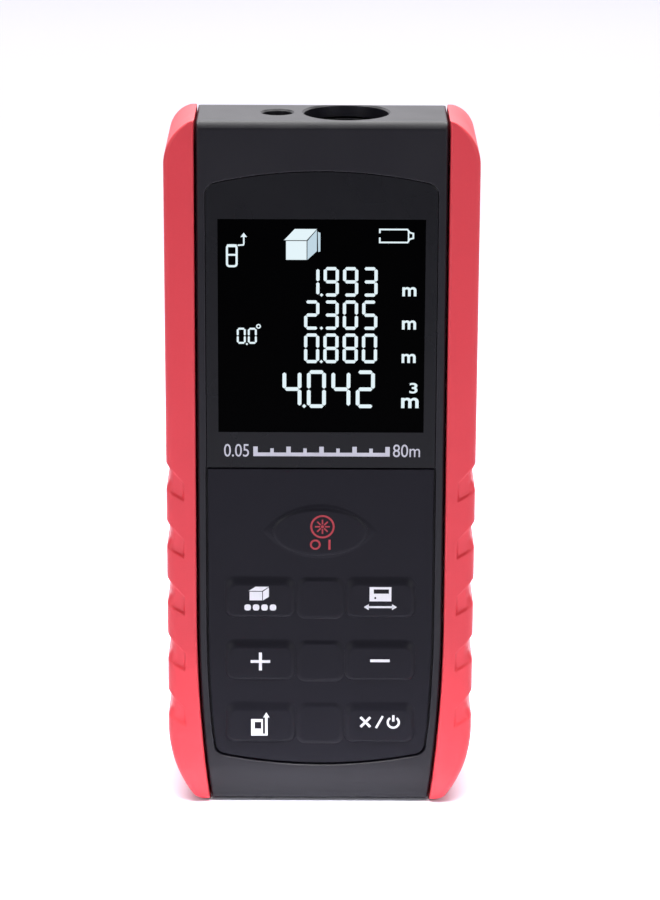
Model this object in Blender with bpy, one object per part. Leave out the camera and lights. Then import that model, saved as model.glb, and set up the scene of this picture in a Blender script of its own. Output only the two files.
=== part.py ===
"""Laser distance meter, 115 x 50 x 26 mm, standing on its lower end.

Every dimension below is in millimetres, and MM turns it into Blender's metres. X runs across
the width, the display and the keypad face -Y, and +Z runs along the body to the optics in its
top face. The origin is in the middle of the lower end face.
"""
import math

import bmesh
import bpy
from mathutils import Matrix, Vector

MM = 0.001
GAP = 0.3                   # clearance between pieces that touch on the real object
FINE_GAP = 0.15             # the same inside thin stacks
OVER = 2.0                  # how far a cutter runs past the face it opens

# Overall size
LENGTH, WIDTH, DEPTH = 115.0, 50.0, 26.0
GRIP_OUT = WIDTH / 2
GRIP_FRONT, GRIP_REAR = -DEPTH / 2, DEPTH / 2 - 0.1

# Housing, made of a front and a rear shell
FACE_Y, REAR_Y = -12.4, DEPTH / 2
TOP_Z = 114.65
BODY_HALF = 19.9            # half width above the taper
TAPER_Z, TAPER_RADIUS = 32.0, 250.0
WALL, SIDE_WALL, ROOF = 1.8, 1.7, 2.0
FLOOR_Z = 2.0
FRONT_INNER_Y = -9.9        # inner surface of the front wall
LENS_BAY_Z, LENS_BAY_Y = 107.5, -10.95
PARTING_Y = 5.0
CHIN_Z, CHIN_RADIUS = 7.0, 18.0
EDGE_RADIUS, HEEL_RADIUS = 1.7, 2.5
TOP_CHAMFER = 0.85
SHOULDER_RADIUS, GRIP_SHOULDER = 12.0, 13.0
RAIL_HALF, RAIL_Y, RAIL_LOW, RAIL_HIGH, RAIL_WALL = 22.4, 8.0, 12.0, 105.0, 1.6

# Side grips
CROWN_Z, CROWN_RADIUS, CROWN_TIP = 107.8, 8.0, 0.4
FOOT_Z, FOOT_RADIUS, FOOT_TIP = 13.5, 21.5, 1.2
GRIP_EDGE_TOP, GRIP_EDGE_LOW, INNER_EDGE = 0.6, 1.8, 0.4
NOTCH_COUNT, NOTCH_TOP, NOTCH_LOW, NOTCH_PITCH = 5, 59.0, 54.2, 9.74
NOTCH_DEPTH, NOTCH_INNER_X = 0.45, 22.0
NOTCH_TOP_SLOPE, NOTCH_LOW_SLOPE = 1.03, 0.65     # fall per millimetre inwards

# Face panel: display window above the split line, keypad below it
FRAME = 1.47                # strip of housing between the panel and the grip
PANEL_TOP, PANEL_CROWN = 106.79, 77.0
PANEL_LOW, PANEL_BOW = 6.87, 79.0
PANEL_CORNER = 1.9
SPLIT_Z = 57.97
WINDOW_Y, WINDOW_BACK, WINDOW_FLOOR = -12.3, -11.2, -10.9
MAT_Y, MAT_BACK, MAT_FLOOR, MAT_LEDGE, MAT_OPEN_TOP = -12.15, -10.95, -10.65, 1.3, 56.6

# Display stack, front to back
LCD_HALF, LCD_LOW, LCD_HIGH = 17.0, 62.1, 100.7
LCD_VIEW_HALF, LCD_VIEW_LOW, LCD_VIEW_HIGH = 16.6, 63.9, 99.3
GASKET_Y, GASKET_BACK = -11.05, -10.75
LCD_Y, LCD_BACK = -10.6, -9.5
LIGHT_Y, LIGHT_BACK, LIGHT_LOW = -9.3, -8.2, 63.2

# Keys: one oval key above three rows of two, with a fixed pad between each two
KEY_TOP_Y, OVAL_TOP_Y = -12.6, -12.45
KEY_FLANGE_Y, KEY_FLANGE_BACK, KEY_POST_END = -10.65, -10.1, -9.75
KEY_X, KEY_HALF, KEY_CORNER, KEY_SIDE = 9.8, 5.8, 1.5, 0.3
KEY_RISE, KEY_DROP, FACE_UP, FACE_DOWN = 4.0, 3.1, 2.35, 2.8
ROW_Z, ROW_PITCH = 35.65, 10.9
PAD_HALF, PAD_UP, PAD_DOWN, PAD_Y = 3.65, 3.85, 3.4, -12.4
OVAL_X, OVAL_Z, OVAL_A, OVAL_B, OVAL_SLOPE = -0.1, 47.25, 7.7, 4.1, 0.35
FLANGE, POST_RADIUS = 0.5, 1.5
DOME_RADIUS, DOME_TOP, DOME_BASE = 2.5, -9.05, -8.65

# Circuit board
BOARD_Y, BOARD_BACK, BOARD_HALF, BOARD_LOW, BOARD_HIGH = -8.5, -7.3, 16.8, 9.6, 61.2

# Optics
RECEIVER_X, RECEIVER_Y, RECEIVER_HOLE = 3.86, -3.6, 6.75
EMITTER_X, EMITTER_Y, EMITTER_HOLE = -7.1, -3.9, 2.45
CHASSIS_LOW, CHASSIS_TOP, NECK_LOW, COLLAR_LOW = 78.0, 112.3, 101.6, 108.1
COLLAR_RADIUS, LENS_SEAT, LENS_RADIUS = 7.0, 6.35, 6.1
LENS_BACK, LENS_EDGE, LENS_CROWN = 109.0, 110.2, 111.6
BARREL_RADIUS, BARREL_BORE, EMITTER_BORE = 2.9, 2.35, 3.2
OPTICS_BOARD_LOW, OPTICS_BOARD_HIGH = 74.2, 75.4

# Battery bay, two AAA cells
CELL_RADIUS, CELL_LENGTH, CELL_X, CELL_Y = 5.25, 44.5, 5.6, 5.2
BAY_HALF, BAY_LOW, BAY_HIGH, BAY_FLOOR, BAY_WALL = 11.3, 10.3, 61.6, -0.4, 1.1
CONTACT_LOW, CONTACT_HIGH, CONTACT_SHEET = 10.6, 60.9, 0.4
SPRING_HEIGHT, SPRING_WIRE, SPRING_TURNS = 4.3, 0.28, 4
DOOR_HALF, DOOR_LOW, DOOR_HIGH, DOOR_Y, DOOR_BACK = 12.6, 10.0, 63.0, 12.9, 11.5
TONGUE_HALF, TONGUE_HIGH = 4.7, 65.9
PIVOT_Y, PIVOT_Z = 12.75, 9.85
TAB_X, TAB_HALF = 9.3, 1.7

# Screws
SCREW_X, SCREW_LOW_Z, SCREW_HIGH_Z = 15.4, 17.0, 104.5
BOSS_RADIUS, PILLAR_RADIUS = 2.5, 2.6
SHANK, SHANK_HOLE, HEAD, HEAD_HOLE, HEAD_SEAT = 0.95, 1.15, 1.85, 2.15, 7.0
BOARD_SCREW_X, BOARD_SCREW_Z, BOARD_SHANK, BOARD_SHANK_HOLE = 14.5, 59.4, 0.55, 0.75

ROUND, FINE_ROUND = 24, 36  # sides of a turned piece

COLOURS = {                 # base colour, roughness, metallic
    "black_abs": ((0.022, 0.021, 0.026), 0.50, 0.0),
    "red_grip": ((0.62, 0.055, 0.075), 0.55, 0.0),
    "smoked_window": ((0.012, 0.012, 0.016), 0.12, 0.0),
    "display_glass": ((0.004, 0.004, 0.006), 0.10, 0.0),
    "backlight": ((0.75, 0.77, 0.80), 0.40, 0.0),
    "foam": ((0.03, 0.03, 0.03), 0.95, 0.0),
    "keypad_silicone": ((0.028, 0.027, 0.033), 0.62, 0.0),
    "circuit_board": ((0.02, 0.13, 0.06), 0.45, 0.0),
    "chip": ((0.02, 0.02, 0.02), 0.55, 0.0),
    "flex": ((0.55, 0.25, 0.05), 0.40, 0.0),
    "chassis": ((0.05, 0.05, 0.055), 0.50, 0.0),
    "optical_glass": ((0.55, 0.62, 0.75), 0.03, 0.0),
    "brass": ((0.60, 0.43, 0.18), 0.35, 1.0),
    "nickel": ((0.62, 0.61, 0.58), 0.30, 1.0),
    "steel": ((0.45, 0.45, 0.46), 0.35, 1.0),
    "cell_sleeve": ((0.10, 0.16, 0.30), 0.40, 0.0),
}

PLACE = {
    "X": lambda u, v, level: (level, u, v),
    "Y": lambda u, v, level: (u, level, v),
    "Z": lambda u, v, level: (u, v, level),
}


# ---------------------------------------------------------------- outlines

def arc(centre_u, centre_v, radius, start, end, steps):
    """Points along an arc, angles in degrees."""
    angles = [math.radians(start + (end - start) * i / steps) for i in range(steps + 1)]
    return [(centre_u + radius * math.cos(a), centre_v + radius * math.sin(a)) for a in angles]


def circle(centre_u, centre_v, radius, sides=ROUND):
    return arc(centre_u, centre_v, radius, 0, 360, sides)[:-1]


def rectangle(low_u, high_u, low_v, high_v):
    return [(low_u, low_v), (high_u, low_v), (high_u, high_v), (low_u, high_v)]


def rounded_rectangle(low_u, high_u, low_v, high_v, radius, steps=3):
    """Rectangle with round corners, counter-clockwise from its lower right corner."""
    corners = [(high_u - radius, low_v + radius, -90), (high_u - radius, high_v - radius, 0),
               (low_u + radius, high_v - radius, 90), (low_u + radius, low_v + radius, 180)]
    return [p for u, v, start in corners for p in arc(u, v, radius, start, start + 90, steps)]


def mirrored(right_side):
    """Close an outline whose right side runs from the bottom centre to the top centre."""
    left_side = [(-u, v) for u, v in reversed(right_side) if abs(u) > 1e-6]
    return right_side + left_side


def body_half(z):
    """Half width of the housing: straight above, drawn in towards the lower end."""
    return BODY_HALF - max(0.0, TAPER_Z - z) ** 2 / (2 * TAPER_RADIUS)


def housing_outline(inset=0.0, low=0.0, high=TOP_Z, steps=7):
    """Front view of the housing, or of its hollow when inset by the side wall."""
    levels = [low + (TAPER_Z - low) * i / steps for i in range(steps + 1)]
    side = [(body_half(z) - inset, z) for z in levels]
    top = [(BODY_HALF - inset, high - GAP), (BODY_HALF - inset - GAP, high)]
    return mirrored(side + top)


def chin_y(z, front):
    """Front surface near the lower end, where it bows back."""
    drop = max(0.0, CHIN_Z - z)
    return front + CHIN_RADIUS - math.sqrt(CHIN_RADIUS ** 2 - drop ** 2)


def shoulder_y(z, rear, top, radius):
    """Rear surface, rounded over to the top face."""
    rise = max(0.0, z - (top - radius))
    return rear - radius + math.sqrt(max(0.0, radius ** 2 - rise ** 2))


def housing_profile():
    """Side view of the housing as (y, z), from the front lower edge round to the top."""
    edge_y = chin_y(EDGE_RADIUS, FACE_Y)
    edge = arc(edge_y + EDGE_RADIUS, EDGE_RADIUS, EDGE_RADIUS, 180, 270, 4)
    heel = arc(REAR_Y - HEEL_RADIUS, HEEL_RADIUS, HEEL_RADIUS, 270, 360, 4)
    shoulder = arc(REAR_Y - SHOULDER_RADIUS, TOP_Z - SHOULDER_RADIUS, SHOULDER_RADIUS, 0, 90, 12)
    front = [(FACE_Y + TOP_CHAMFER, TOP_Z), (FACE_Y, TOP_Z - TOP_CHAMFER)]
    chin = [(chin_y(z, FACE_Y), z) for z in (CHIN_Z, 5.5, 4.0, 2.8)]
    return edge + heel + shoulder + front + chin


def hollow_profile():
    """Side view of the space inside the housing as (y, z)."""
    inner_radius = SHOULDER_RADIUS - WALL
    centre_z = TOP_Z - SHOULDER_RADIUS
    ceiling = TOP_Z - ROOF
    ceiling_angle = math.degrees(math.asin((ceiling - centre_z) / inner_radius))
    shoulder = arc(REAR_Y - SHOULDER_RADIUS, centre_z, inner_radius, 0, ceiling_angle, 9)
    front = [(LENS_BAY_Y, ceiling), (LENS_BAY_Y, LENS_BAY_Z), (FRONT_INNER_Y, LENS_BAY_Z)]
    floor = [(FRONT_INNER_Y, FLOOR_Z), (REAR_Y - WALL, FLOOR_Z)]
    return floor + shoulder + front


def panel_outline(grow=0.0):
    """Front view of the whole face panel: crowned top, tapering sides, bowed lower edge."""
    corner = PANEL_CORNER + grow
    crown, bow = PANEL_CROWN + grow, PANEL_BOW + grow
    crown_z, bow_z = PANEL_TOP - PANEL_CROWN, PANEL_LOW + PANEL_BOW
    top_x = BODY_HALF - FRAME + grow - corner
    low_x = body_half(PANEL_LOW + PANEL_CORNER) - FRAME + grow - corner
    top_z = crown_z + math.sqrt((crown - corner) ** 2 - top_x ** 2)
    low_z = bow_z - math.sqrt((bow - corner) ** 2 - low_x ** 2)
    top_angle = math.degrees(math.atan2(top_z - crown_z, top_x))
    low_angle = math.degrees(math.atan2(low_z - bow_z, low_x))
    bottom = arc(0, bow_z, bow, -90, low_angle, 6)
    low_corner = arc(low_x, low_z, corner, low_angle, 0, 4)[1:]
    side = [(body_half(z) - FRAME + grow, z) for z in (16.0, 21.0, 26.0, TAPER_Z)]
    top_corner = arc(top_x, top_z, corner, 0, top_angle, 4)
    top = arc(0, crown_z, crown, top_angle, 90, 6)[1:]
    return mirrored(bottom + low_corner + side + top_corner + top)


def grip_section(z):
    """Plan of the right grip at a height, as (x, y): flat inside, rounded outside."""
    inner = body_half(z) + GAP
    if z > CROWN_Z:
        outer = GRIP_OUT - CROWN_RADIUS + math.sqrt(CROWN_RADIUS ** 2 - (z - CROWN_Z) ** 2)
        tip_radius, tip = CROWN_TIP, max(0.0, z - LENGTH + CROWN_TIP)
    else:
        drop = max(0.0, FOOT_Z - z)
        outer = GRIP_OUT - FOOT_RADIUS + math.sqrt(FOOT_RADIUS ** 2 - drop ** 2)
        tip_radius, tip = FOOT_TIP, max(0.0, FOOT_TIP - z)
    tuck = tip_radius - math.sqrt(tip_radius ** 2 - min(tip_radius, tip) ** 2)
    front = chin_y(z, GRIP_FRONT) + tuck
    rear = shoulder_y(z, GRIP_REAR, LENGTH, GRIP_SHOULDER) - tuck
    outer -= tuck
    share = min(1.0, z / LENGTH)
    edge = GRIP_EDGE_LOW + (GRIP_EDGE_TOP - GRIP_EDGE_LOW) * share
    edge = min(edge, 0.4 * (outer - inner))
    small = min(INNER_EDGE, 0.2 * (outer - inner))
    return (arc(outer - edge, front + edge, edge, -90, 0, 5)
            + arc(outer - edge, rear - edge, edge, 0, 90, 5)
            + arc(inner + small, rear - small, small, 90, 180, 2)
            + arc(inner + small, front + small, small, 180, 270, 2))


# ---------------------------------------------------------------- solids

def loft(axis, sections, ring=False):
    """Skin a list of (level, outline) with equal point counts; ring closes it on itself."""
    place = PLACE[axis]
    work = bmesh.new()
    loops = [[work.verts.new(Vector(place(u, v, level)) * MM) for u, v in outline]
             for level, outline in sections]
    pairs = list(zip(loops, loops[1:] + loops[:1])) if ring else list(zip(loops, loops[1:]))
    for lower, upper in pairs:
        count = len(lower)
        for i in range(count):
            following = (i + 1) % count
            work.faces.new((lower[i], lower[following], upper[following], upper[i]))
    if not ring:
        work.faces.new(loops[0])
        work.faces.new(loops[-1])
    bmesh.ops.recalc_face_normals(work, faces=work.faces)
    mesh = bpy.data.meshes.new("solid")
    work.to_mesh(mesh)
    work.free()
    solid = bpy.data.objects.new("solid", mesh)
    bpy.context.scene.collection.objects.link(solid)
    return solid


def prism(axis, outline, low, high):
    return loft(axis, [(low, outline), (high, outline)])


def box(x, y, z):
    """Box from three (low, high) ranges."""
    return prism("Z", rectangle(x[0], x[1], y[0], y[1]), z[0], z[1])


def turned(axis, centre, steps, sides=ROUND, ring=False):
    """Turned solid about a line through centre: steps are (level, radius)."""
    return loft(axis, [(level, circle(*centre, radius, sides)) for level, radius in steps], ring)


def tube(axis, centre, outer, inner, low, high, sides=ROUND):
    return turned(axis, centre, [(low, outer), (high, outer), (high, inner), (low, inner)],
                  sides, ring=True)


def combine(target, tools, operation):
    """Join, cut or intersect a solid with others, which are used up."""
    for tool in tools:
        step = target.modifiers.new("step", "BOOLEAN")
        step.solver, step.operation, step.object = "EXACT", operation, tool
        ready = target.evaluated_get(bpy.context.evaluated_depsgraph_get())
        mesh = bpy.data.meshes.new_from_object(ready)
        target.modifiers.clear()
        target.data = mesh
        bpy.data.objects.remove(tool)
    return target


def join(target, *tools):
    return combine(target, tools, "UNION")


def cut(target, *tools):
    return combine(target, tools, "DIFFERENCE")


def keep(target, *tools):
    return combine(target, tools, "INTERSECT")


def ribbon(path, thickness, low_x, high_x):
    """Flat strip that follows a path of (y, z) points."""
    front, back = [], []
    for i, (y, z) in enumerate(path):
        before, after = path[max(0, i - 1)], path[min(len(path) - 1, i + 1)]
        along = Vector((after[0] - before[0], after[1] - before[1])).normalized()
        side = Vector((-along.y, along.x)) * thickness / 2
        front.append((y + side.x, z + side.y))
        back.append((y - side.x, z - side.y))
    return prism("X", front + back[::-1], low_x, high_x)


def material(slot):
    """The slot's Principled material, made once."""
    if slot in bpy.data.materials:
        return bpy.data.materials[slot]
    colour, roughness, metallic = COLOURS[slot]
    made = bpy.data.materials.new(slot)
    made.use_nodes = True
    shader = made.node_tree.nodes["Principled BSDF"]
    shader.inputs["Base Color"].default_value = (*colour, 1.0)
    shader.inputs["Roughness"].default_value = roughness
    shader.inputs["Metallic"].default_value = metallic
    return made


def finish(name, solid, slot, origin=(0.0, 0.0, 0.0), smooth=True):
    """Name a solid, give it its material and put its origin where it belongs."""
    centre = Vector(origin) * MM
    solid.name = solid.data.name = name
    solid.data.transform(Matrix.Translation(-centre))
    solid.location = centre
    solid.data.materials.clear()
    solid.data.materials.append(material(slot))
    if smooth:
        solid.data.shade_smooth()
        solid.data.set_sharp_from_angle(angle=math.radians(30))
    return solid


# ---------------------------------------------------------------- housing and grips

def housing_shell(low_y, high_y):
    """The part of the hollow housing between two depths."""
    shell = prism("Y", housing_outline(), FACE_Y - OVER, REAR_Y + OVER)
    keep(shell, prism("X", housing_profile(), -GRIP_OUT, GRIP_OUT))
    join(shell, box((-RAIL_HALF, RAIL_HALF), (-RAIL_Y, RAIL_Y), (RAIL_LOW, RAIL_HIGH)))
    hollow = prism("Y", housing_outline(SIDE_WALL, FLOOR_Z, TOP_Z - ROOF), FACE_Y, REAR_Y)
    keep(hollow, prism("X", hollow_profile(), -GRIP_OUT, GRIP_OUT))
    rail = RAIL_HALF - RAIL_WALL
    join(hollow, box((-rail, rail), (-RAIL_Y + RAIL_WALL, RAIL_Y - RAIL_WALL),
                     (RAIL_LOW + RAIL_WALL, RAIL_HIGH - RAIL_WALL)))
    cut(shell, hollow)
    return keep(shell, box((-GRIP_OUT, GRIP_OUT), (low_y, high_y), (-OVER, LENGTH + OVER)))


def web(side, low_y, high_y, z, reach):
    """Rib that ties a screw boss to the side wall."""
    low_x, high_x = sorted((side * SCREW_X, side * reach))
    return box((low_x, high_x), (low_y, high_y), (z - 0.8, z + 0.8))


def make_front_housing():
    shell = housing_shell(FACE_Y - OVER, PARTING_Y - FINE_GAP)
    cut(shell, prism("Y", panel_outline(FINE_GAP), FACE_Y - OVER, WINDOW_FLOOR))
    ledge = prism("Y", panel_outline(FINE_GAP), FACE_Y - OVER, MAT_FLOOR)
    cut(shell, keep(ledge, box((-GRIP_OUT, GRIP_OUT), (-DEPTH, 0), (0, SPLIT_Z))))
    lcd_bay = box((-LCD_HALF - GAP, LCD_HALF + GAP), (FACE_Y - OVER, FRONT_INNER_Y + OVER),
                  (LCD_LOW - GAP, LCD_HIGH + GAP))
    keypad_bay = prism("Y", panel_outline(-MAT_LEDGE), FACE_Y - OVER, FRONT_INNER_Y + OVER)
    keep(keypad_bay, box((-GRIP_OUT, GRIP_OUT), (-DEPTH, 0), (0, MAT_OPEN_TOP)))
    cut(shell, lcd_bay, keypad_bay)
    for side in (-1, 1):
        low, high = (side * SCREW_X, SCREW_LOW_Z), (side * SCREW_X, SCREW_HIGH_Z)
        join(shell, turned("Y", low, [(-6.7, BOSS_RADIUS), (2.7, BOSS_RADIUS)]),
             web(side, -6.5, 2.5, SCREW_LOW_Z, RAIL_HALF - 1.0),
             turned("Y", high, [(FRONT_INNER_Y - GAP, BOSS_RADIUS), (1.2, BOSS_RADIUS)]),
             web(side, FRONT_INNER_Y - GAP, 1.0, SCREW_HIGH_Z, BODY_HALF - 1.0))
        cut(shell, turned("Y", low, [(-5.5, SHANK_HOLE), (2.7 + OVER, SHANK_HOLE)]),
            turned("Y", high, [(-8.5, SHANK_HOLE), (1.2 + OVER, SHANK_HOLE)]))
        stud = (side * BOARD_SCREW_X, BOARD_SCREW_Z)
        join(shell, turned("Y", stud, [(FRONT_INNER_Y - GAP, 1.8), (BOARD_Y - GAP, 1.8)]))
        cut(shell, turned("Y", stud, [(-10.5, BOARD_SHANK_HOLE), (BOARD_Y, BOARD_SHANK_HOLE)]))
    roof = (TOP_Z - ROOF - OVER, TOP_Z + OVER)
    cut(shell, turned("Z", (RECEIVER_X, RECEIVER_Y), [(z, RECEIVER_HOLE) for z in roof],
                      FINE_ROUND),
        turned("Z", (EMITTER_X, EMITTER_Y), [(z, EMITTER_HOLE) for z in roof]))
    return finish("front_housing", shell, "black_abs")


def make_rear_housing():
    shell = housing_shell(PARTING_Y + FINE_GAP, REAR_Y + OVER)
    outer = BAY_HALF + BAY_WALL
    join(shell, box((-outer, outer), (BAY_FLOOR - BAY_WALL, DOOR_BACK - FINE_GAP),
                    (BAY_LOW - 1.4, BAY_HIGH + 1.4)),
         box((-6.2, 6.2), (9.2, DOOR_BACK - FINE_GAP), (BAY_HIGH, 67.4)))
    for side in (-1, 1):
        for z, start in ((SCREW_LOW_Z, 3.0), (SCREW_HIGH_Z, 3.2)):
            place = (side * SCREW_X, z)
            join(shell, turned("Y", place, [(start, PILLAR_RADIUS), (11.8, PILLAR_RADIUS)]))
            cut(shell, turned("Y", place, [(HEAD_SEAT, HEAD_HOLE), (REAR_Y + OVER, HEAD_HOLE)]),
                turned("Y", place, [(start - OVER, SHANK_HOLE), (HEAD_SEAT + OVER, SHANK_HOLE)]))
    floor = DOOR_BACK - GAP
    cut(shell, box((-BAY_HALF, BAY_HALF), (BAY_FLOOR, REAR_Y), (BAY_LOW, BAY_HIGH)),
        box((-DOOR_HALF - GAP, DOOR_HALF + GAP), (floor, REAR_Y + OVER),
            (DOOR_LOW - GAP, DOOR_HIGH + GAP)),
        box((-TONGUE_HALF - GAP, TONGUE_HALF + GAP), (floor, REAR_Y + OVER),
            (DOOR_HIGH - OVER, TONGUE_HIGH + GAP)))
    for side in (-1, 1):
        tab = sorted((side * (TAB_X - TAB_HALF - GAP), side * BAY_HALF))
        lead = sorted((side * (CELL_X - 1.6), side * (CELL_X + 1.6)))
        cut(shell, box(tab, (9.3, floor + 0.1), (8.2, BAY_LOW + GAP)),
            box(lead, (BAY_FLOOR - BAY_WALL - OVER, BAY_FLOOR + 1.0), (BAY_LOW + 0.1, 11.3)))
    return finish("rear_housing", shell, "black_abs")


def make_grip(name, side):
    """Soft-touch side cover, clipped over the housing's rail, with five finger notches."""
    foot = [FOOT_TIP * (1 - math.cos(math.radians(a))) for a in (0, 30, 60, 90)]
    low = [2.8, 5.0, CHIN_Z, 9.5, FOOT_Z, 20.0, 26.0, TAPER_Z]
    crown = [CROWN_Z, 109.8, 111.4, 112.7, 113.7]
    tip = [LENGTH - CROWN_TIP * (1 - math.cos(math.radians(a))) for a in (90, 60, 30, 0)]
    levels = foot + low + [60.0, LENGTH - GRIP_SHOULDER, 105.0] + crown + tip
    grip = loft("Z", [(z, grip_section(z)) for z in levels])
    channel_z = (RAIL_LOW - GAP, RAIL_HIGH + GAP)
    cut(grip, box((0, RAIL_HALF + GAP), (-RAIL_Y - GAP, RAIL_Y + GAP), channel_z))
    inner = GRIP_OUT - NOTCH_DEPTH
    edge, skin = 2.0, NOTCH_DEPTH
    front, rear = GRIP_FRONT + skin, GRIP_REAR - skin
    hook = [(NOTCH_INNER_X, GRIP_FRONT - OVER), (GRIP_OUT + OVER, GRIP_FRONT - OVER),
            (GRIP_OUT + OVER, GRIP_REAR + OVER), (NOTCH_INNER_X, GRIP_REAR + OVER),
            (NOTCH_INNER_X, rear), (inner - edge, rear), (inner, rear - edge),
            (inner, front + edge), (inner - edge, front), (NOTCH_INNER_X, front)]
    reach, run = GRIP_OUT + OVER, GRIP_OUT - NOTCH_INNER_X
    for i in range(NOTCH_COUNT):
        top, low = NOTCH_TOP - i * NOTCH_PITCH, NOTCH_LOW - i * NOTCH_PITCH
        slanted = [(NOTCH_INNER_X, low - run * NOTCH_LOW_SLOPE), (reach, low + OVER * NOTCH_LOW_SLOPE),
                   (reach, top + OVER * NOTCH_TOP_SLOPE), (NOTCH_INNER_X, top - run * NOTCH_TOP_SLOPE)]
        notch = prism("Z", hook, low - DEPTH, top + DEPTH)
        cut(grip, keep(notch, prism("Y", slanted, -DEPTH, DEPTH)))
    if side < 0:
        grip.data.transform(Matrix.Scale(-1, 4, Vector((1, 0, 0))))
        grip.data.flip_normals()
    return finish(name, grip, "red_grip")


# ---------------------------------------------------------------- display and keypad

def make_display():
    window = prism("Y", panel_outline(-FINE_GAP), WINDOW_Y, WINDOW_BACK)
    keep(window, box((-GRIP_OUT, GRIP_OUT), (-DEPTH, 0), (SPLIT_Z + FINE_GAP, LENGTH)))
    finish("display_window", window, "smoked_window")

    seal = box((-LCD_HALF, LCD_HALF), (GASKET_Y, GASKET_BACK), (LCD_LOW, LCD_HIGH))
    cut(seal, box((-LCD_VIEW_HALF, LCD_VIEW_HALF), (GASKET_Y - OVER, GASKET_BACK + OVER),
                  (LCD_VIEW_LOW, LCD_VIEW_HIGH)))
    finish("display_seal", seal, "foam", smooth=False)

    glass = box((-LCD_HALF, LCD_HALF), (LCD_Y, LCD_BACK), (LCD_LOW, LCD_HIGH))
    finish("lcd_panel", glass, "display_glass", smooth=False)
    light = box((-LCD_HALF, LCD_HALF), (LIGHT_Y, LIGHT_BACK), (LIGHT_LOW, LCD_HIGH))
    finish("lcd_backlight", light, "backlight", smooth=False)

    flex = ribbon([(-9.15, 62.8), (-9.15, 61.6), (-9.05, 60.4), (-8.95, 59.0), (-8.95, 57.3)],
                  FINE_GAP, -6.0, 6.0)
    finish("lcd_flex", flex, "flex", smooth=False)
    plug = box((-6.5, 6.5), (-9.5, BOARD_Y - FINE_GAP), (54.6, 57.0))
    finish("lcd_connector", plug, "chip", smooth=False)


def oval(grow, sides=FINE_ROUND):
    """Outline of the oval key, grown or shrunk evenly."""
    angles = [math.radians(360 * i / sides) for i in range(sides)]
    return [(OVAL_X + (OVAL_A + grow) * math.cos(a), OVAL_Z + (OVAL_B + grow) * math.sin(a))
            for a in angles]


def key_base(x, z, grow=0.0):
    """Outline of an oblong key where it leaves the keypad."""
    return rounded_rectangle(x - KEY_HALF - grow, x + KEY_HALF + grow,
                             z - KEY_DROP - grow, z + KEY_RISE + grow, KEY_CORNER + grow)


def key_face(x, z):
    """Outline of an oblong key's top face: a long slope above it, a short one below."""
    half = KEY_HALF - KEY_SIDE
    return rounded_rectangle(x - half, x + half, z - FACE_DOWN, z + FACE_UP, 1.2)


def key_places():
    """Name and centre of each oblong key, row by row."""
    names = (("key_menu", "key_units"), ("key_plus", "key_minus"), ("key_reference", "key_clear"))
    for row, pair in enumerate(names):
        for name, side in zip(pair, (-1, 1)):
            yield name, side * KEY_X, ROW_Z - row * ROW_PITCH


def make_key(name, top, face, base, flange, centre):
    """Moulded key: cap, retaining flange and the post that presses its dome."""
    count = len(base)
    turn = 0 if name == "key_measure" else 90
    post = arc(centre[0], centre[1], POST_RADIUS, -turn, 360 - turn, count)[:-1]
    key = loft("Y", [(top, face), (MAT_Y, base), (KEY_FLANGE_Y, base),
                     (KEY_FLANGE_Y, flange), (KEY_FLANGE_BACK, flange),
                     (KEY_FLANGE_BACK, post), (KEY_POST_END, post)])
    finish(name, key, "keypad_silicone", origin=(centre[0], top, centre[1]))


def make_dome(name, centre):
    """Snap dome on the circuit board under a key."""
    rise = DOME_BASE - DOME_TOP
    steps = [(DOME_BASE, DOME_RADIUS), (DOME_TOP + 0.25 * rise, 0.62 * DOME_RADIUS),
             (DOME_TOP, 0.25 * DOME_RADIUS)]
    finish(name, turned("Y", centre, steps, 16), "steel")


def make_keypad():
    mat = prism("Y", panel_outline(-FINE_GAP), MAT_Y, MAT_BACK)
    keep(mat, box((-GRIP_OUT, GRIP_OUT), (-DEPTH, 0), (0, SPLIT_Z - FINE_GAP)))
    for row in range(3):
        z = ROW_Z - row * ROW_PITCH
        join(mat, prism("Y", rounded_rectangle(-PAD_HALF, PAD_HALF, z - PAD_DOWN, z + PAD_UP,
                                               KEY_CORNER), PAD_Y, MAT_BACK - 0.2))
    holes = [key_base(x, z, GAP) for _, x, z in key_places()] + [oval(GAP)]
    for outline in holes:
        cut(mat, prism("Y", outline, MAT_Y - OVER, MAT_BACK + OVER))
    finish("keypad_mat", mat, "keypad_silicone")

    make_key("key_measure", OVAL_TOP_Y, oval(-OVAL_SLOPE), oval(0), oval(FLANGE), (OVAL_X, OVAL_Z))
    make_dome("dome_measure", (OVAL_X, OVAL_Z))
    for name, x, z in key_places():
        make_key(name, KEY_TOP_Y, key_face(x, z), key_base(x, z), key_base(x, z, FLANGE), (x, z))
        make_dome(name.replace("key", "dome"), (x, z))


# ---------------------------------------------------------------- electronics

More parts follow.
